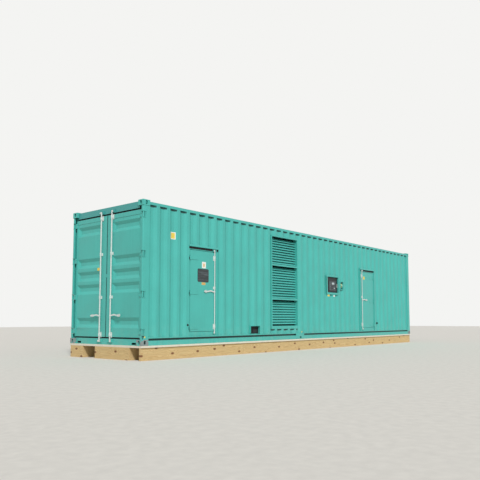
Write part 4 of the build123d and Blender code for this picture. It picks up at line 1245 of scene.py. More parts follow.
    def build(self) -> None:
        """Make every sheet from the boxes of the CAD nodes that it stands for."""
        for node in ("front_wall_door_bay", "front_wall_far_bay"):
            self.wall(node, Side.FRONT, [area_of(node)])
        pan = area_of("control_window").inset(self.flange)
        self.wall("front_wall_control_bay", Side.FRONT, [area_of("front_wall_control_bay")],
                  [pan, area_of("stop_box")])
        bay, louvre = area_of("front_wall_louvre_bay"), area_of("louvre_front")
        self.wall("front_wall_louvre_bay", Side.FRONT, [
            Area(bay.left, louvre.left, bay.low, bay.high),
            Area(louvre.left, bay.right, bay.low, louvre.low),
            Area(louvre.left, bay.right, louvre.high, bay.high)], [area_of("cable_recess")])
        panels = area_of("over_door_panels")
        frames = [area_of("door_frame_1"), area_of("door_frame_2")]
        self.wall("over_door_panels", Side.FRONT,
                  [Area(below.left, below.right, panels.low, panels.high) for below in frames])
        self.wall("back_wall", Side.BACK, area_of("back_wall").parts_round(area_of("louvre_back")))
        self.far_end()

    def far_end(self) -> None:
        """Replace the far end wall."""
        low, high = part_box("far_end_wall")
        hole_low, hole_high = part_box("louvre_far_end")
        turn = Matrix.Translation((FAR_END - self.end_inset, 0.0, 0.0)) @ Matrix.Rotation(math.pi / 2, 4, "Z")
        extra = {"first_trough": -(self.end_troughs // 2) * self.end_pitch, "pitch": self.end_pitch,
                 "troughs": self.end_troughs, "trough_flat": self.end_flat}
        hole = Area(hole_low.y, hole_high.y, hole_low.z, hole_high.z)
        parts = Area(low.y, high.y, low.z, high.z).parts_round(hole)
        meshes = [self.placed(self.sheet(part, self.palette.paint, **extra), turn) for part in parts]
        node = "far_end_wall"
        as_piece(node + "_rolled", joined(meshes), body_of(node), self.palette.paint, (node,))


@dataclass
class Steelwork:
    """Castings, posts, rails, louvres, frames and leaves: all in enamel, with rounded edges.

    Attributes:
        palette: Finishes.
        headers: Nodes in the darker enamel.
        rails: Nodes with painted shade under their ledges.
        plates: Nodes of flat and folded plate.
        pressed: Nodes of pressed sheet with shallow bends.
        plain: Nodes that stay as they are.
        casting_edge: Rounding of the castings.
        plate_edge: Rounding of plates.
        press_bend: Rounding of pressed bends.
        hinge_heights: Heights of the cargo hinges above the base.
        foot_start: Depth of the lugs' foot plates behind the door end.
        foot_end: Depth of their inner face.
        foot_half: Half their height.
        foot_edges: Distances of their two faces from the long side.
    """

    palette: Palette
    headers: tuple = ("door_header", "far_end_rails")
    rails: tuple = ("door_end_posts", "far_end_posts", "door_sill", "bottom_rails", "top_rails",
                    "rail_joint_plates", "rain_hoods")
    plates: tuple = ("door_frame_1", "door_frame_2", "control_window", "stop_box", "cable_recess",
                     "personnel_door_1", "personnel_door_2", "louvre_front", "louvre_back", "louvre_far_end")
    pressed: tuple = ("cargo_door_right", "cargo_door_left", "roof_sheet")
    plain: tuple = ("cross_members", "floor_deck")
    casting_edge: float = 3.0 * MM
    plate_edge: float = 1.2 * MM
    press_bend: float = 7.0 * MM
    hinge_heights: tuple = (0.270, 1.010, 1.810, 2.595)
    foot_start: float = 54.0 * MM
    foot_end: float = 80.5 * MM
    foot_half: float = 56.0 * MM
    foot_edges: tuple = (8.0 * MM, 13.0 * MM)

    def build(self) -> None:
        """Dress every painted node."""
        paint = self.palette.paint
        # Every dressed node gets painted shade on its undersides, and headers and rails also under their
        # ledges
        dress("top_castings", paint, self.casting_edge)
        dress("bottom_castings", self.palette.scuffed, self.casting_edge)
        for node in self.headers:
            dress(node, self.palette.header, self.plate_edge, shelter=PaintedShade.LEDGES)
        for node in self.rails:
            dress(node, paint, self.plate_edge, shelter=PaintedShade.LEDGES)
        for node in self.plates:
            dress(node, paint, self.plate_edge)
        for node in self.pressed:
            dress(node, paint, self.plate_edge, self.press_bend, PaintedShade.UNDERSIDES)
        for node in self.plain:
            coat(node, paint)
        self.lug_feet()

    def lug_feet(self) -> None:
        """Foot plates between the lugs of each cargo hinge, set back behind the swing of the blade."""
        near, far = self.foot_edges
        feet = [block(on_end, Area(left, right, z - self.foot_half, z + self.foot_half),
                      self.foot_start, self.foot_end, FINE)
                for z in self.hinge_heights for left, right in ((near, far), (WIDTH - far, WIDTH - near))]
        as_piece("hinge_feet", joined(feet), "container", self.palette.paint)


@dataclass
class LockGear:
    """Galvanised lock rods with their kinked handles, guides, back plates and keepers.

    Attributes:
        palette: Finishes.
        guides: Nodes of the guides and catches.
        radius: Rounding of the rods' and guides' edges.
        cargo_rod: Distance of a cargo rod from the middle of the door end.
        cargo_face: Depth of the leaves' panels behind the door end.
        cargo_handle: Height of the cargo handles above the base.
        cargo_seats: Heights of the back plates on the cargo leaves.
        person_rods: Distances of the personnel rods from the door end.
        person_face: Depth of the personnel leaves behind the front side.
        person_handle: Height of the personnel handles.
        person_seats: Heights of the back plates on the personnel leaves.
        plate_wide: Width of a back plate.
        plate_tall: Height of a back plate.
        plate_thick: Thickness of a back plate of a cargo leaf.
        person_trim: How much narrower a personnel back plate is on each side.
        person_thick: Thickness of a personnel back plate.
        keeper: Lower and upper edge of a keeper's cover.
        keeper_wide: Width of that cover.
        keeper_depth: Depths of its two faces behind the door end.
        thin_edge: Rounding of the covers and the personnel back plates.
        kink_rise: How far a handle bends up.
        kink_start: Distance from the rod's axis at which the bend starts.
        kink_end: Distance at which it ends.
        kink_steps: Number of straight pieces in the bend.
        kink_band: Half the height of the band round a handle that is bent.
    """

    palette: Palette
    guides: tuple = ("cargo_guides_right", "cargo_guides_left", "personnel_guides_1", "personnel_guides_2")
    radius: float = 1.2 * MM
    cargo_rod: float = 181.0 * MM
    cargo_face: float = 47.0 * MM
    cargo_handle: float = 600.0 * MM
    cargo_seats: tuple = (203.0 * MM, 2662.0 * MM)
    person_rods: tuple = (2055.0 * MM, 8755.0 * MM)
    person_face: float = 28.0 * MM
    person_handle: float = 1130.0 * MM
    person_seats: tuple = (360.0 * MM, 1880.0 * MM)
    plate_wide: float = 88.0 * MM
    plate_tall: float = 112.0 * MM
    plate_thick: float = 3.0 * MM
    person_trim: float = 8.0 * MM
    person_thick: float = 2.0 * MM
    keeper: tuple = (51.0 * MM, 109.0 * MM)
    keeper_wide: float = 84.0 * MM
    keeper_depth: tuple = (42.0 * MM, 45.0 * MM)
    thin_edge: float = 0.8 * MM
    kink_rise: float = 15.0 * MM
    kink_start: float = 24.0 * MM
    kink_end: float = 235.0 * MM
    kink_steps: int = 10
    kink_band: float = 40.0 * MM

    def build(self) -> None:
        """Dress rods and guides and add their plates."""
        for node in self.guides:
            dress(node, self.palette.zinc, self.radius)
        self.rods()
        self.cargo_plates()
        self.person_plates()

    def rods(self) -> None:
        """Dress the four rods, each handle bent up between its hub and its catch."""
        middle = WIDTH / 2
        for node, axis, away, height in (
                ("cargo_lock_right", on_end(middle - self.cargo_rod, 0.0), (0, -1, 0), self.cargo_handle),
                ("cargo_lock_left", on_end(middle + self.cargo_rod, 0.0), (0, 1, 0), self.cargo_handle),
                ("personnel_lock_1", on_front(self.person_rods[0], 0.0), (-1, 0, 0), self.person_handle),
                ("personnel_lock_2", on_front(self.person_rods[1], 0.0), (1, 0, 0), self.person_handle)):
            mesh = self.kinked(SoftEdges(self.radius).mesh(node), axis, Vector(away), BASE + height)
            as_piece(node + "_skin", mesh, body_of(node), self.palette.zinc, (node,))

    def kinked(self, mesh: Mesh, axis: Vector, away: Vector, height: float) -> Mesh:
        """Bend a straight handle upwards between its hub and its catch.

        Args:
            mesh: The rod with its handle.
            axis: A point of the rod's axis.
            away: Direction of the handle from the rod.
            height: Height of the handle.

        Returns:
            The bent mesh.
        """
        work = bmesh.new()
        work.from_mesh(mesh)
        long = self.kink_end - self.kink_start
        for step in range(self.kink_steps + 1):
            cut = axis + away * (self.kink_start + long * step / self.kink_steps)
            near = [f for f in work.faces if abs(f.calc_center_median().z - height) < self.kink_band]
            edges = {e for f in near for e in f.edges}
            verts = {v for f in near for v in f.verts}
            bmesh.ops.bisect_plane(work, geom=[*verts, *edges, *near], dist=1e-6, plane_co=cut, plane_no=away)
        for vert in work.verts:
            reach = (vert.co - axis).dot(away)
            if self.kink_start < reach < self.kink_end and abs(vert.co.z - height) < self.kink_band:
                share = (reach - self.kink_start) / long
                vert.co.z += self.kink_rise * math.sin(math.pi * share) ** 2
        work.to_mesh(mesh)
        work.free()
        return mesh

    def cargo_plates(self) -> None:
        """Back plates on the cargo leaves and covers over the keepers on the sill."""
        covers = []
        for side, leaf in CARGO_LEAVES:
            rod = WIDTH / 2 + side * self.cargo_rod
            backs = [block(on_end, Area.around(rod, z, self.plate_wide / 2, self.plate_tall / 2),
                           self.cargo_face - self.plate_thick, self.cargo_face, FINE)
                     for z in self.cargo_seats]
            as_piece(leaf + "_back_plates", joined(backs), leaf, self.palette.zinc)
            cover = Area(rod - self.keeper_wide / 2, rod + self.keeper_wide / 2, *self.keeper)
            covers.append(block(on_end, cover, *self.keeper_depth, self.thin_edge))
        as_piece("keeper_covers", joined(covers), "container", self.palette.zinc)

    def person_plates(self) -> None:
        """Back plates on the personnel doors."""
        half = self.plate_wide / 2 - self.person_trim
        for number, rod in enumerate(self.person_rods, start=1):
            backs = [block(on_front, Area.around(rod, z, half, self.plate_tall / 2),
                           self.person_face - self.person_thick, self.person_face, self.thin_edge)
                     for z in self.person_seats]
            body = "personnel_door_%d" % number
            as_piece(body + "_back_plates", joined(backs), body, self.palette.zinc)


@dataclass
class Gaskets:
    """Black rubber lips and seals of the doors, seen as dark lines in their gaps, and black drip seals and
    hinge pads that are painted shade under the rain hoods and at the hinges.

    Attributes:
        palette: Finishes.
        lip: Reach of the lips over and under a cargo leaf.
        lip_edge: Rounding of the lips.
        near: Depth of their outer face behind the door end.
        far: Depth of their inner face.
        hinge_edge: Distance of a leaf's hinge edge from the long side.
        edge: Half the gap between the leaves.
        strip: Thickness of the strips on the leaves' meeting edges.
        strip_near: Depth of the strips' outer face behind the door end.
        strip_short: How far a strip ends short of the leaf.
        bridge: Heights between which the left strip is cut for the plate of the right leaf.
        leaves: The personnel leaves.
        seal: Depths of a personnel door's seal behind the front side.
        seal_wide: Width of that seal.
        seal_gap: Distance of the seal inside the leaf's outline.
        drip: Heights of the drip seal, a black band of painted shade under a rain hood.
        drip_depth: Depths of the drip seal behind the front side.
        drip_short: How far a drip seal ends short of the door frame.
        drip_gap: Half the gap that a drip seal leaves round a lock rod and its keeper.
        pins: Distances of the two doors' hinge pads, black blocks of painted shade, from the door end.
        straps: Heights of the hinge straps.
        pad_half: Half the width of a pad.
        pad_drop: How far a pad reaches below its strap's height.
        pad_rise: How far it reaches above.
        pad_depth: Depths of a pad behind the front side.
    """

    palette: Palette
    lip: float = 22.0 * MM
    lip_edge: float = 2.0 * MM
    near: float = 62.0 * MM
    far: float = 90.0 * MM
    hinge_edge: float = 103.0 * MM
    edge: float = 12.0 * MM
    strip: float = 5.0 * MM
    strip_near: float = 50.0 * MM
    strip_short: float = 4.0 * MM
    bridge: tuple = (1390.0 * MM, 1470.0 * MM)
    leaves: tuple = (Area(1310.0 * MM, 2100.0 * MM, 260.0 * MM, 2010.0 * MM),
                     Area(8710.0 * MM, 9500.0 * MM, 260.0 * MM, 2010.0 * MM))
    seal: tuple = (89.5 * MM, 94.0 * MM)
    seal_wide: float = 14.0 * MM
    seal_gap: float = 2.0 * MM
    drip: tuple = (2036.0 * MM, 2080.0 * MM)
    drip_depth: tuple = (22.0 * MM, 28.0 * MM)
    drip_short: float = 18.0 * MM
    drip_gap: float = 58.0 * MM
    pins: tuple = (1284.0 * MM, 9527.0 * MM)
    straps: tuple = (340.0 * MM, 1090.0 * MM, 1840.0 * MM)
    pad_half: float = 17.0 * MM
    pad_drop: float = 46.0 * MM
    pad_rise: float = 12.0 * MM
    pad_depth: tuple = (24.0 * MM, 28.0 * MM)

    def build(self) -> None:
        """Make the lips of both cargo leaves, the seals of both personnel doors, and their drip seals and
        hinge pads of painted shade.
        """
        for side, leaf in CARGO_LEAVES:
            self.cargo_lips(side, leaf)
        for number, leaf in enumerate(self.leaves, start=1):
            self.ring("personnel_seal_%d" % number, leaf)
            self.drip_seal(number)
        for number, middle in enumerate(self.pins, start=1):
            # Black pads at the hinges paint the shade round the knuckles
            pads = [Area(middle - self.pad_half, middle + self.pad_half, z - self.pad_drop, z + self.pad_rise)
                    for z in self.straps]
            self.on_container("hinge_pads_%d" % number, pads, self.pad_depth)

    def on_container(self, name: str, areas: List[Area], depths: tuple) -> None:
        """Rubber blocks behind areas of the front side, as one piece of the container."""
        parts = [block(on_front, area, *depths, FINE) for area in areas]
        as_piece(name, joined(parts), "container", self.palette.rubber)

    def cargo_lips(self, side: int, leaf: str) -> None:
        """Lips over and under a cargo leaf, and the strip on its meeting edge.

        Args:
            side: Sign of the leaf's place beside the middle.
            leaf: The leaf's node and body.
        """
        middle = WIDTH / 2
        low, high = (corner.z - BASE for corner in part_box(leaf))
        ends = sorted((middle + side * (middle - self.hinge_edge), middle + side * self.edge))
        lips = [block(on_end, Area(*ends, low - self.lip, low), self.near, self.far, self.lip_edge),
                block(on_end, Area(*ends, high, high + self.lip), self.near, self.far, self.lip_edge)]
        strip = sorted((middle + side * self.edge, middle + side * (self.edge - self.strip)))
        cuts = [] if side < 0 else self.bridge
        heights = [low + self.strip_short, *cuts, high - self.strip_short]
        lips += [block(on_end, Area(*strip, foot, top), self.strip_near, self.far, FINE)
                 for foot, top in zip(heights[::2], heights[1::2])]
        as_piece(leaf + "_gasket", joined(lips), leaf, self.palette.rubber)

    def ring(self, name: str, leaf: Area) -> None:
        """Seal on the frame's stop, just inside a leaf's outline.

        Args:
            name: The piece's name.
            leaf: The leaf's outline.
        """
        outer = leaf.inset(self.seal_gap)
        self.on_container(name, outer.parts_round(outer.inset(self.seal_wide)), self.seal)

    def drip_seal(self, number: int) -> None:
        """Black band of painted shade under a rain hood, cut round the lock rod.

        Args:
            number: Number of the personnel door.
        """
        under = area_of("door_frame_%d" % number).inset(self.drip_short)
        rod = LockGear.person_rods[number - 1]
        # The black blocks paint the hood's shadow on the frame
        self.on_container("drip_seal_%d" % number, [
            Area(under.left, rod - self.drip_gap, *self.drip),
            Area(rod + self.drip_gap, under.right, *self.drip)], self.drip_depth)


@dataclass
class Films:
    """Plain films and dots stuck on the enamel, with nothing printed on them.

    Attributes:
        palette: Finishes.
        sheets: The rolled sheets, which press a film into their troughs.
        thickness: Thickness of a flat film.
        leaf_depth: Depth of the personnel leaves behind the front side.
        cargo_depth: Depths of the film on the left cargo leaf behind the door end.
        small_dot: Radius of the dots on the steel frame.
        large_dot: Radius of the dot on the second personnel door.

    The areas and the dots' places are named after their colour and what they are stuck on.
    """

    palette: Palette
    sheets: RolledSheets
    thickness: float = 0.6 * MM
    leaf_depth: float = 28.0 * MM
    cargo_depth: tuple = (52.4 * MM, 53.0 * MM)
    small_dot: float = 0.018
    large_dot: float = 0.055
    white_high: Area = Area(0.752, 0.886, 2.180, 2.330)
    yellow_high: Area = Area(0.768, 0.870, 2.196, 2.314)
    dot_on_post: tuple = (0.086, 0.169, 6.0 * MM)
    dot_on_rail: tuple = (5.425, 0.185, 8.0 * MM)
    yellow_on_leaf: Area = Area(1.475, 1.555, 1.556, 1.616)
    white_on_door: Area = Area(1.668, 1.790, 1.636, 1.775)
    orange_on_white: Area = Area(1.708, 1.750, 1.668, 1.738)
    orange_on_door: Area = Area(1.662, 1.778, 1.268, 1.322)
    dot_on_door: tuple = (8.905, 1.825, 28.0 * MM)
    yellow_by_window: Area = Area(6.745, 6.835, 1.176, 1.226)
    white_by_window: Area = Area(7.045, 7.145, 1.176, 1.218)

    def on_door_1(self, name: str, area: Area, depth: float, coating: Coating) -> None:
        """Stick a flat film on the first personnel door."""
        as_piece(name, block(on_front, area, depth - self.thickness, depth), "personnel_door_1", coating)

    def dot(self, name: str, place: tuple, radius: float, body: str) -> None:
        """Stick a round yellow film on a plane of the front side."""
        mesh = disc(on_front(*place), Facing.FRONT, radius, self.thickness)
        as_piece(name, mesh, body, self.palette.yellow)

    def build(self) -> None:
        """Stick every film where the picture shows one."""
        palette = self.palette
        self.sheets.stick("white_film_high", self.white_high, palette.white)
        self.sheets.stick("yellow_film_high", self.yellow_high, palette.yellow, 2)
        self.dot("yellow_dot_post", self.dot_on_post, self.small_dot, "container")
        self.dot("yellow_dot_rail", self.dot_on_rail, self.small_dot, "container")
        as_piece("yellow_film_leaf", block(on_end, self.yellow_on_leaf, *self.cargo_depth), "cargo_door_left",
                 palette.yellow)
        self.on_door_1("white_film_door_1", self.white_on_door, self.leaf_depth, palette.white)
        on_white = self.leaf_depth - self.thickness
        self.on_door_1("orange_film_high", self.orange_on_white, on_white, palette.orange)
        self.on_door_1("orange_film_door_1", self.orange_on_door, self.leaf_depth, palette.orange)
        self.dot("yellow_dot_door_2", self.dot_on_door, self.large_dot, "personnel_door_2")
        self.sheets.stick("yellow_film_window", self.yellow_by_window, palette.yellow)
        self.sheets.stick("white_film_window", self.white_by_window, palette.white)


@dataclass
class Packing:
    """Timber and board under the container.

    Attributes:
        palette: Finishes.
        saw_radius: Rounding of the worn corners, in metres.
    """

    palette: Palette
    saw_radius: float = 3.0 * MM

    def build(self) -> None:
        """Dress the timber with worn corners."""
        dress("side_timbers", self.palette.pine_long, self.saw_radius)
        dress("timber_blocks", self.palette.pine_cross, self.saw_radius)
        dress("bearing_boards", self.palette.board, self.saw_radius)


@dataclass
class Linings:
    """Acoustic lining, seen through the doorways.

    Attributes:
        palette: Finishes.
        nodes: Nodes of the slabs on the walls and the ceiling and in the personnel doors.
    """

    palette: Palette
    nodes: tuple = ("front_lining", "back_lining", "end_lining", "ceiling_lining", "personnel_core_1",
                    "personnel_core_2")

    def build(self) -> None:
        """Give the slabs their cloth."""
        for node in self.nodes:
            coat(node, self.palette.wool)


@dataclass
class Controls:
    """Control station in its window, stop button, gland plate of the cable recess and the smoked pane.

    Attributes:
        palette: Finishes.
        panel_edge: Rounding of the panel and the pane.
        buffer_edge: Rounding of the rubber buffers.
        instrument: Edges of the raised instrument face.
        face_depth: Depth of its back behind the front side.
        face_thick: Its thickness.
        display: Width and height of the display.
        display_place: Its middle, from the left and from the top of the instrument face.
        rim: Width of the display's rim.
        rim_thick: Thickness of the rim.
        glass_thick: Thickness of the display's glass.
        lamp: Size of a lamp.
        lamp_place: Lowest lamp, from the left and from the foot of the instrument face.
        lamp_pitch: Distance between lamps, and their number.
        key: Size of a key.
        key_place: First key, from the left and from the foot of the instrument face.
        key_pitch: Distances between keys, across and down.
        keys: Columns and rows of keys.
        button: Size of the large round button.
        button_place: Its middle, from the right and from the foot of the instrument face.
        handle: Edges of the handle's front.
        handle_cover: Depth of the back of the handle's cover, and its thickness.
        stop: Distance and height of the stop button.
        cap: Size of its mushroom cap.
        cap_depth: Depth of the cap's back behind the front side.
        stop_back: Depth of the stop box's back.
        collar_half: Half the width and height of the collar.
        collar_thick: Its thickness.
        guard_half: Half the width and height of a black guard that paints the shade of a notch.
        guard_away: Distance of the guards' middles from the button.
        guard_thick: Their thickness.
        recess: Edges inside the cable recess.
        recess_back: Depth of its back.
        recess_thick: Thickness of the plate on its back.
        gland: Edges of the gland plate, from the recess's left, right, foot and foot.
        gland_thick: Its thickness.
    """

    palette: Palette
    panel_edge: float = 1.0 * MM
    buffer_edge: float = 3.0 * MM
    instrument: Area = Area(6.870, 7.230, 1.352, 1.632)
    face_depth: float = 38.0 * MM
    face_thick: float = 1.5 * MM
    display: tuple = (0.130, 0.060)
    display_place: tuple = (0.200, 0.072)
    rim: float = 0.012
    rim_thick: float = 3.0 * MM
    glass_thick: float = 0.8 * MM
    lamp: Knob = Knob(0.006, 3.0 * MM, 1.0 * MM)
    lamp_place: tuple = (0.030, 0.04)
    lamp_pitch: tuple = (0.032, 7)
    key: Knob = Knob(0.011, 4.0 * MM, 1.0 * MM)
    key_place: tuple = (0.11, 0.12)
    key_pitch: tuple = (0.045, 0.05)
    keys: tuple = (3, 2)
    button: Knob = Knob(0.020, 8.0 * MM, 2.0 * MM)
    button_place: tuple = (0.100, 0.069)
    handle: Area = Area(7.2560, 7.2740, 1.4440, 1.5560)
    handle_cover: tuple = (27.0 * MM, 8.0 * MM)
    stop: tuple = (7.5225, 1.520)
    cap: Knob = Knob(0.031, 6.0 * MM, 2.5 * MM)
    cap_depth: float = 8.0 * MM
    stop_back: float = 35.0 * MM
    collar_half: tuple = (0.036, 0.048)
    collar_thick: float = 3.0 * MM
    guard_half: tuple = (0.060, 0.012)
    guard_away: float = 0.074
    guard_thick: float = 6.0 * MM
    recess: Area = Area(3.308, 3.651, 0.179, 0.354)
    recess_back: float = 74.0 * MM
    recess_thick: float = 6.0 * MM
    gland: tuple = (0.150, 0.040, 0.015, 0.095)
    gland_thick: float = 4.0 * MM

    def build(self) -> None:
        """Dress the nodes and add the small parts."""
        dress("control_panel", self.palette.panel, self.panel_edge)
        dress("door_1_window", self.palette.pane, self.panel_edge)
        dress("door_buffers", self.palette.rubber, self.buffer_edge)
        self.station()
        self.stop_button()
        self.cable_plate()

    def slab(self, name: str, area: Area, depth: float, thick: float, coating: Coating,
             rounding: float = 0.5 * MM) -> None:
        """Thin block whose back lies at a depth behind the front side."""
        as_piece(name, block(on_front, area, depth - thick, depth, rounding), "container", coating)

    def knobs(self, name: str, places: List[Vector], knob: Knob, coating: Coating) -> None:
        """Round buttons or lamps of one size, which look forwards, as one piece."""
        meshes = [disc(place, Facing.FRONT, *knob) for place in places]
        as_piece(name, joined(meshes), "container", coating)

    def station(self) -> None:
        """Instrument face with its display, buttons, lamps and the light handle beside it."""
        area, palette = self.instrument, self.palette
        self.slab("instrument_face", area, self.face_depth, self.face_thick, palette.face)
        depth = self.face_depth - self.face_thick
        screen = Area.around(area.left + self.display_place[0], area.high - self.display_place[1],
                             self.display[0] / 2, self.display[1] / 2)
        self.slab("display_rim", screen.inset(-self.rim), depth, self.rim_thick, palette.panel, FINE)
        self.slab("display", screen, depth - self.rim_thick, self.glass_thick, palette.display, 0.2 * MM)
        pitch, count = self.lamp_pitch
        lamps = [on_front(area.left + self.lamp_place[0], area.low + self.lamp_place[1] + pitch * row, depth)
                 for row in range(count)]
        self.knobs("lamps", lamps, self.lamp, palette.display)
        (left, low), (across, down), (columns, rows) = self.key_place, self.key_pitch, self.keys
        keys = [on_front(area.left + left + across * column, area.low + low - down * row, depth)
                for column in range(columns) for row in range(rows)]
        self.knobs("keys", keys, self.key, palette.panel)
        button = on_front(area.right - self.button_place[0], area.low + self.button_place[1], depth)
        self.knobs("round_button", [button], self.button, palette.display)
        self.slab("handle_cover", self.handle, *self.handle_cover, palette.zinc, 2 * MM)

    def stop_button(self) -> None:
        """Pale mushroom button with its yellow collar, and black guards above and below it that paint the
        shade of two notches.
        """
        s, z = self.stop
        self.knobs("stop_button_cap", [on_front(s, z, self.cap_depth)], self.cap, self.palette.green)
        self.slab("stop_collar", Area.around(s, z, *self.collar_half), self.stop_back, self.collar_thick,
                  self.palette.yellow, FINE)
        # Black blocks above and below the button paint the shade in its notches
        guards = [block(on_front, Area.around(s, z + end * self.guard_away, *self.guard_half),
                        self.stop_back - self.guard_thick, self.stop_back, FINE) for end in (-1, 1)]
        as_piece("stop_guards", joined(guards), "container", self.palette.rubber)

    def cable_plate(self) -> None:
        """Black plate at the back of the cable recess, which also stands in for the shade deep in it, with a
        grey gland plate on it.
        """
        area = self.recess
        # The black back plate also paints the recess's shade
        self.slab("recess_back_plate", area, self.recess_back, self.recess_thick, self.palette.rubber)
        left, right, low, high = self.gland
        gland = Area(area.left + left, area.right - right, area.low + low, area.low + high)
        self.slab("gland_plate", gland, self.recess_back - self.recess_thick, self.gland_thick,
                  self.palette.panel)


@dataclass
class BoltRow:
    """One straight row of fasteners.

    Attributes:
        start: First fastener's seat.
        end: Last fastener's seat.
        count: Number of fasteners.
        facing: Way they look.
        head: Kind of head.
    """

    start: Vector
    end: Vector
    count: int
    facing: Facing
    head: Head = Head.HEX_BOLT


@dataclass
class Fasteners:
    """Bolts and rivets of the louvres, the control window, the cargo hinges and the lock gear.

    Attributes:
        palette: Finishes.
        louvre_pitch: Greatest distance between the rivets of a louvre frame.
        louvre_edge: Distance of those rivets from the frame's outline.
        sunk: How far the back louvre's rivets stand into their frame.
        window_pitch: Greatest distance between the rivets of the control window.
        window_edge: Distance of those rivets from the window's outline.
        hinge_away: Distance of the hinge bolts from the long side.
        hinge_half: Half the distance between the two bolts of a hinge.
        hinge_depth: Depth of their seat behind the door end.
        plate_half: Half the distances between the rivets of a back plate, across and up.
    """

    palette: Palette
    louvre_pitch: float = 0.23
    louvre_edge: float = 15.0 * MM
    sunk: float = 0.9 * MM
    window_pitch: float = 0.19
    window_edge: float = 26.0 * MM
    hinge_away: float = 112.0 * MM
    hinge_half: float = 30.0 * MM
    hinge_depth: float = 35.0 * MM
    plate_half: tuple = (37.0 * MM, 47.0 * MM)

    def __post_init__(self) -> None:
        """Make the tree that every row uses."""
        self.tree = BoltRowTree()

    def row(self, row: BoltRow, coating: Coating) -> Mesh:
        """Mesh of one row.

        Args:
            row: Its ends, number and kind of fasteners.
            coating: Its finish.

        Returns:
            The row's mesh.
        """
        sides, width, height, taper, washer_width, washer_height = row.head.value
        step = (row.end - row.start) / max(1, row.count - 1)
        return self.tree.mesh({
            "Start": tuple(row.start), "Step": tuple(step), "Turn": row.facing.value, "Count": row.count,
            "Sides": sides, "Head width": width, "Head height": height, "Taper": taper,
            "Washer width": washer_width, "Washer height": washer_height, "Material": coating.material})

    def fix(self, name: str, rows: List[BoltRow], body: str, coating: Coating) -> None:
        """Join rows of fasteners into one piece."""
        as_piece(name, faced_out(joined([self.row(row, coating) for row in rows])), body, coating)

    @staticmethod
    def frame_rows(corners: Sequence[Vector], edge: float, facing: Facing, pitch: float) -> List[BoltRow]:
        """Rows of rivets along the four edges of an upright rectangle.

        Args:
            corners: Lower first and upper last corner of its face.
            edge: Distance of the rows from the outline.
            facing: Way the face looks.
            pitch: Greatest distance between fasteners.

        Returns:
            Four rows.
        """
        low, high = corners
        way = Vector((high.x - low.x, high.y - low.y, 0.0)).normalized()
        inset = way * edge + Vector((0.0, 0.0, edge))
        first = low + inset
        last = high - inset
        right = Vector((last.x, last.y, first.z))
        left = Vector((first.x, first.y, last.z))
        rise = int((last.z - first.z) / pitch) + 1
        run = int((right - first).length / pitch) + 1
        gap = way * ((right - first).length / run)
        ends = ((first, left, rise + 1), (right, last, rise + 1),
                (first + gap, right - gap, run - 1), (left + gap, last - gap, run - 1))
        return [BoltRow(*end, facing, Head.DOME_RIVET) for end in ends]

    def build(self) -> None:
        """Fix every louvre, the window flange, the cargo hinges and the back plates."""
        for node, facing in (("louvre_front", Facing.FRONT), ("louvre_back", Facing.BACK),
                             ("louvre_far_end", Facing.FAR_END)):
            low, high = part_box(node)
            if facing is Facing.FRONT:
                corners = (low, Vector((high.x, low.y, high.z)))
            elif facing is Facing.BACK:
                seat = high.y - self.sunk
                corners = (Vector((low.x, seat, low.z)), Vector((high.x, seat, high.z)))
            else:
                corners = (Vector((high.x, low.y, low.z)), high)
            self.fix(node + "_bolts", self.frame_rows(corners, self.louvre_edge, facing, self.louvre_pitch),
                     body_of(node), self.palette.paint)
        low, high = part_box("control_window")
        corners = (low, Vector((high.x, low.y, high.z)))
        self.fix("window_bolts", self.frame_rows(corners, self.window_edge, Facing.FRONT, self.window_pitch),
                 "container", self.palette.paint)
        self.hinges()
        self.plates()

    def hinges(self) -> None:
        """Two bolts on every hinge blade of the cargo doors."""
        middle = WIDTH / 2
        for side, leaf in CARGO_LEAVES:
            place = middle + side * (middle - self.hinge_away)
            rows = [BoltRow(on_end(place, z - self.hinge_half, self.hinge_depth),
                            on_end(place, z + self.hinge_half, self.hinge_depth), 2, Facing.DOOR_END)
                    for z in Steelwork.hinge_heights]
            self.fix(leaf + "_hinge_bolts", rows, leaf, self.palette.paint)

    def plates(self) -> None:
        """Four rivets on every back plate of the cargo lock rods."""
        wide, tall = self.plate_half
        depth = LockGear.cargo_face - LockGear.plate_thick
        for side, leaf in CARGO_LEAVES:
            rod = WIDTH / 2 + side * LockGear.cargo_rod
            rows = [BoltRow(on_end(place, z - tall, depth), on_end(place, z + tall, depth), 2,
                            Facing.DOOR_END, Head.DOME_RIVET)
                    for z in LockGear.cargo_seats for place in (rod - wide, rod + wide)]
            self.fix(leaf + "_plate_rivets", rows, leaf, self.palette.zinc)


@dataclass(frozen=True)
class Viewpoint:
    """Camera of the reference picture, as fitted to the container's corners.

    Attributes:
        place: Camera position in metres.
        right: Unit vector to the picture's right.
        down: Unit vector down the picture.
        focal: Focal length in picture widths.
        shift: Horizontal and vertical shift in picture widths.
        film_width: Width of the film, in millimetres.
        far_limit: Distance to which the camera sees, in metres.
    """

    place: tuple = (-13.2226, -9.9743, 0.49176 + BASE)
    right: tuple = (0.63273, -0.77437, -0.00202)
    down: tuple = (0.06114, 0.05256, -0.99674)
    focal: float = 1.18292
    shift: tuple = (-0.03875, 0.07194)
    film_width: float = 36.0
    far_limit: float = 200.0

    def build(self) -> None:
        """Make the camera and set it."""
        data = bpy.data.cameras.new("viewpoint")
        data.sensor_width = self.film_width
        data.lens = self.focal * self.film_width
        data.shift_x, data.shift_y = self.shift
        data.clip_end = self.far_limit
        right = Vector(self.right).normalized()
        up = -Vector(self.down)
        back = right.cross(up).normalized()
        up = back.cross(right)
        turn = Matrix((right, up, back)).transposed().to_4x4()
        camera = linked("viewpoint", data)
        camera.matrix_world = Matrix.Translation(self.place) @ turn
        bpy.context.scene.camera = camera


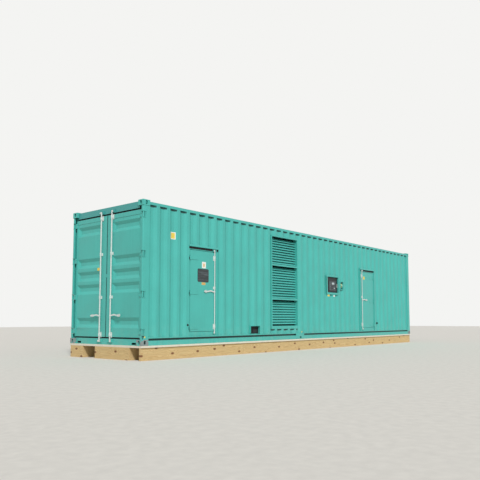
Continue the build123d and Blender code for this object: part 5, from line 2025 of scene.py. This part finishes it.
@dataclass
class Studio:
    """Pale floor, white surroundings and one soft high light.

    Attributes:
        floor_colour: sRGB hex of the floor.
        floor_half: Half the width of the floor, in metres.
        sky: Strength of the even light from all round.
        backdrop: sRGB hex of the surroundings, as the camera and shiny things see them.
        key: Strength of the high light.
        key_from: Direction from which it comes.
        key_softness: Apparent width of the light, in degrees.
    """

    floor_colour: str = "DAD7D0"
    floor_half: float = 60.0
    sky: float = 0.38
    backdrop: str = "F4F4F2"
    key: float = 2.45
    key_from: tuple = (-0.42, -0.62, 0.72)
    key_softness: float = 9.0

    def build(self) -> None:
        """Make the floor, the light and the world."""
        mesh = bpy.data.meshes.new("studio_floor")
        half = self.floor_half
        corners = [(-half, -half, 0), (half, -half, 0), (half, half, 0), (-half, half, 0)]
        mesh.from_pydata(corners, [], [(0, 1, 2, 3)])
        # Painted concrete: pale and dull, so that it keeps the object's shadow
        mesh.materials.append(Finish("pale_studio_floor", self.floor_colour, 0.9).material())
        linked("studio_floor", mesh)
        sun = bpy.data.lights.new("high_light", "SUN")
        sun.energy = self.key
        sun.angle = math.radians(self.key_softness)
        lamp = linked("high_light", sun)
        lamp.rotation_euler = Vector(self.key_from).to_track_quat("Z", "Y").to_euler()
        self.world()
        bpy.context.scene.view_settings.view_transform = "Standard"

    def world(self) -> None:
        """White for the camera, in reflections and behind glass, softer as a light."""
        world = bpy.data.worlds.new("white_surroundings")
        world.use_nodes = True
        world.node_tree.nodes.clear()
        new = partial(add, world.node_tree)
        path = new("ShaderNodeLightPath").outputs
        seen = new("ShaderNodeMath", (path["Is Camera Ray"], path["Is Glossy Ray"]), operation="MAXIMUM")
        seen = new("ShaderNodeMath", (seen, path["Is Transmission Ray"]), operation="MAXIMUM")
        light = new("ShaderNodeBackground", {"Color": (1, 1, 1, 1), "Strength": self.sky})
        shown = new("ShaderNodeBackground", {"Color": linear(self.backdrop), "Strength": 1.0})
        new("ShaderNodeOutputWorld", {"Surface": new("ShaderNodeMixShader", (seen, light, shown))})
        bpy.context.scene.world = world


def main() -> None:
    """Build the viewpoint, the studio and every sub-assembly in order."""
    logging.basicConfig(level=logging.INFO, format="%(message)s")
    Viewpoint().build()
    Studio().build()
    palette = Palette()
    sheets = RolledSheets(palette)
    sheets.build()
    for assembly in (Steelwork(palette), LockGear(palette), Gaskets(palette), Packing(palette),
                     Linings(palette), Controls(palette), Fasteners(palette), Films(palette, sheets)):
        assembly.build()


if __name__ == "__main__":
    main()
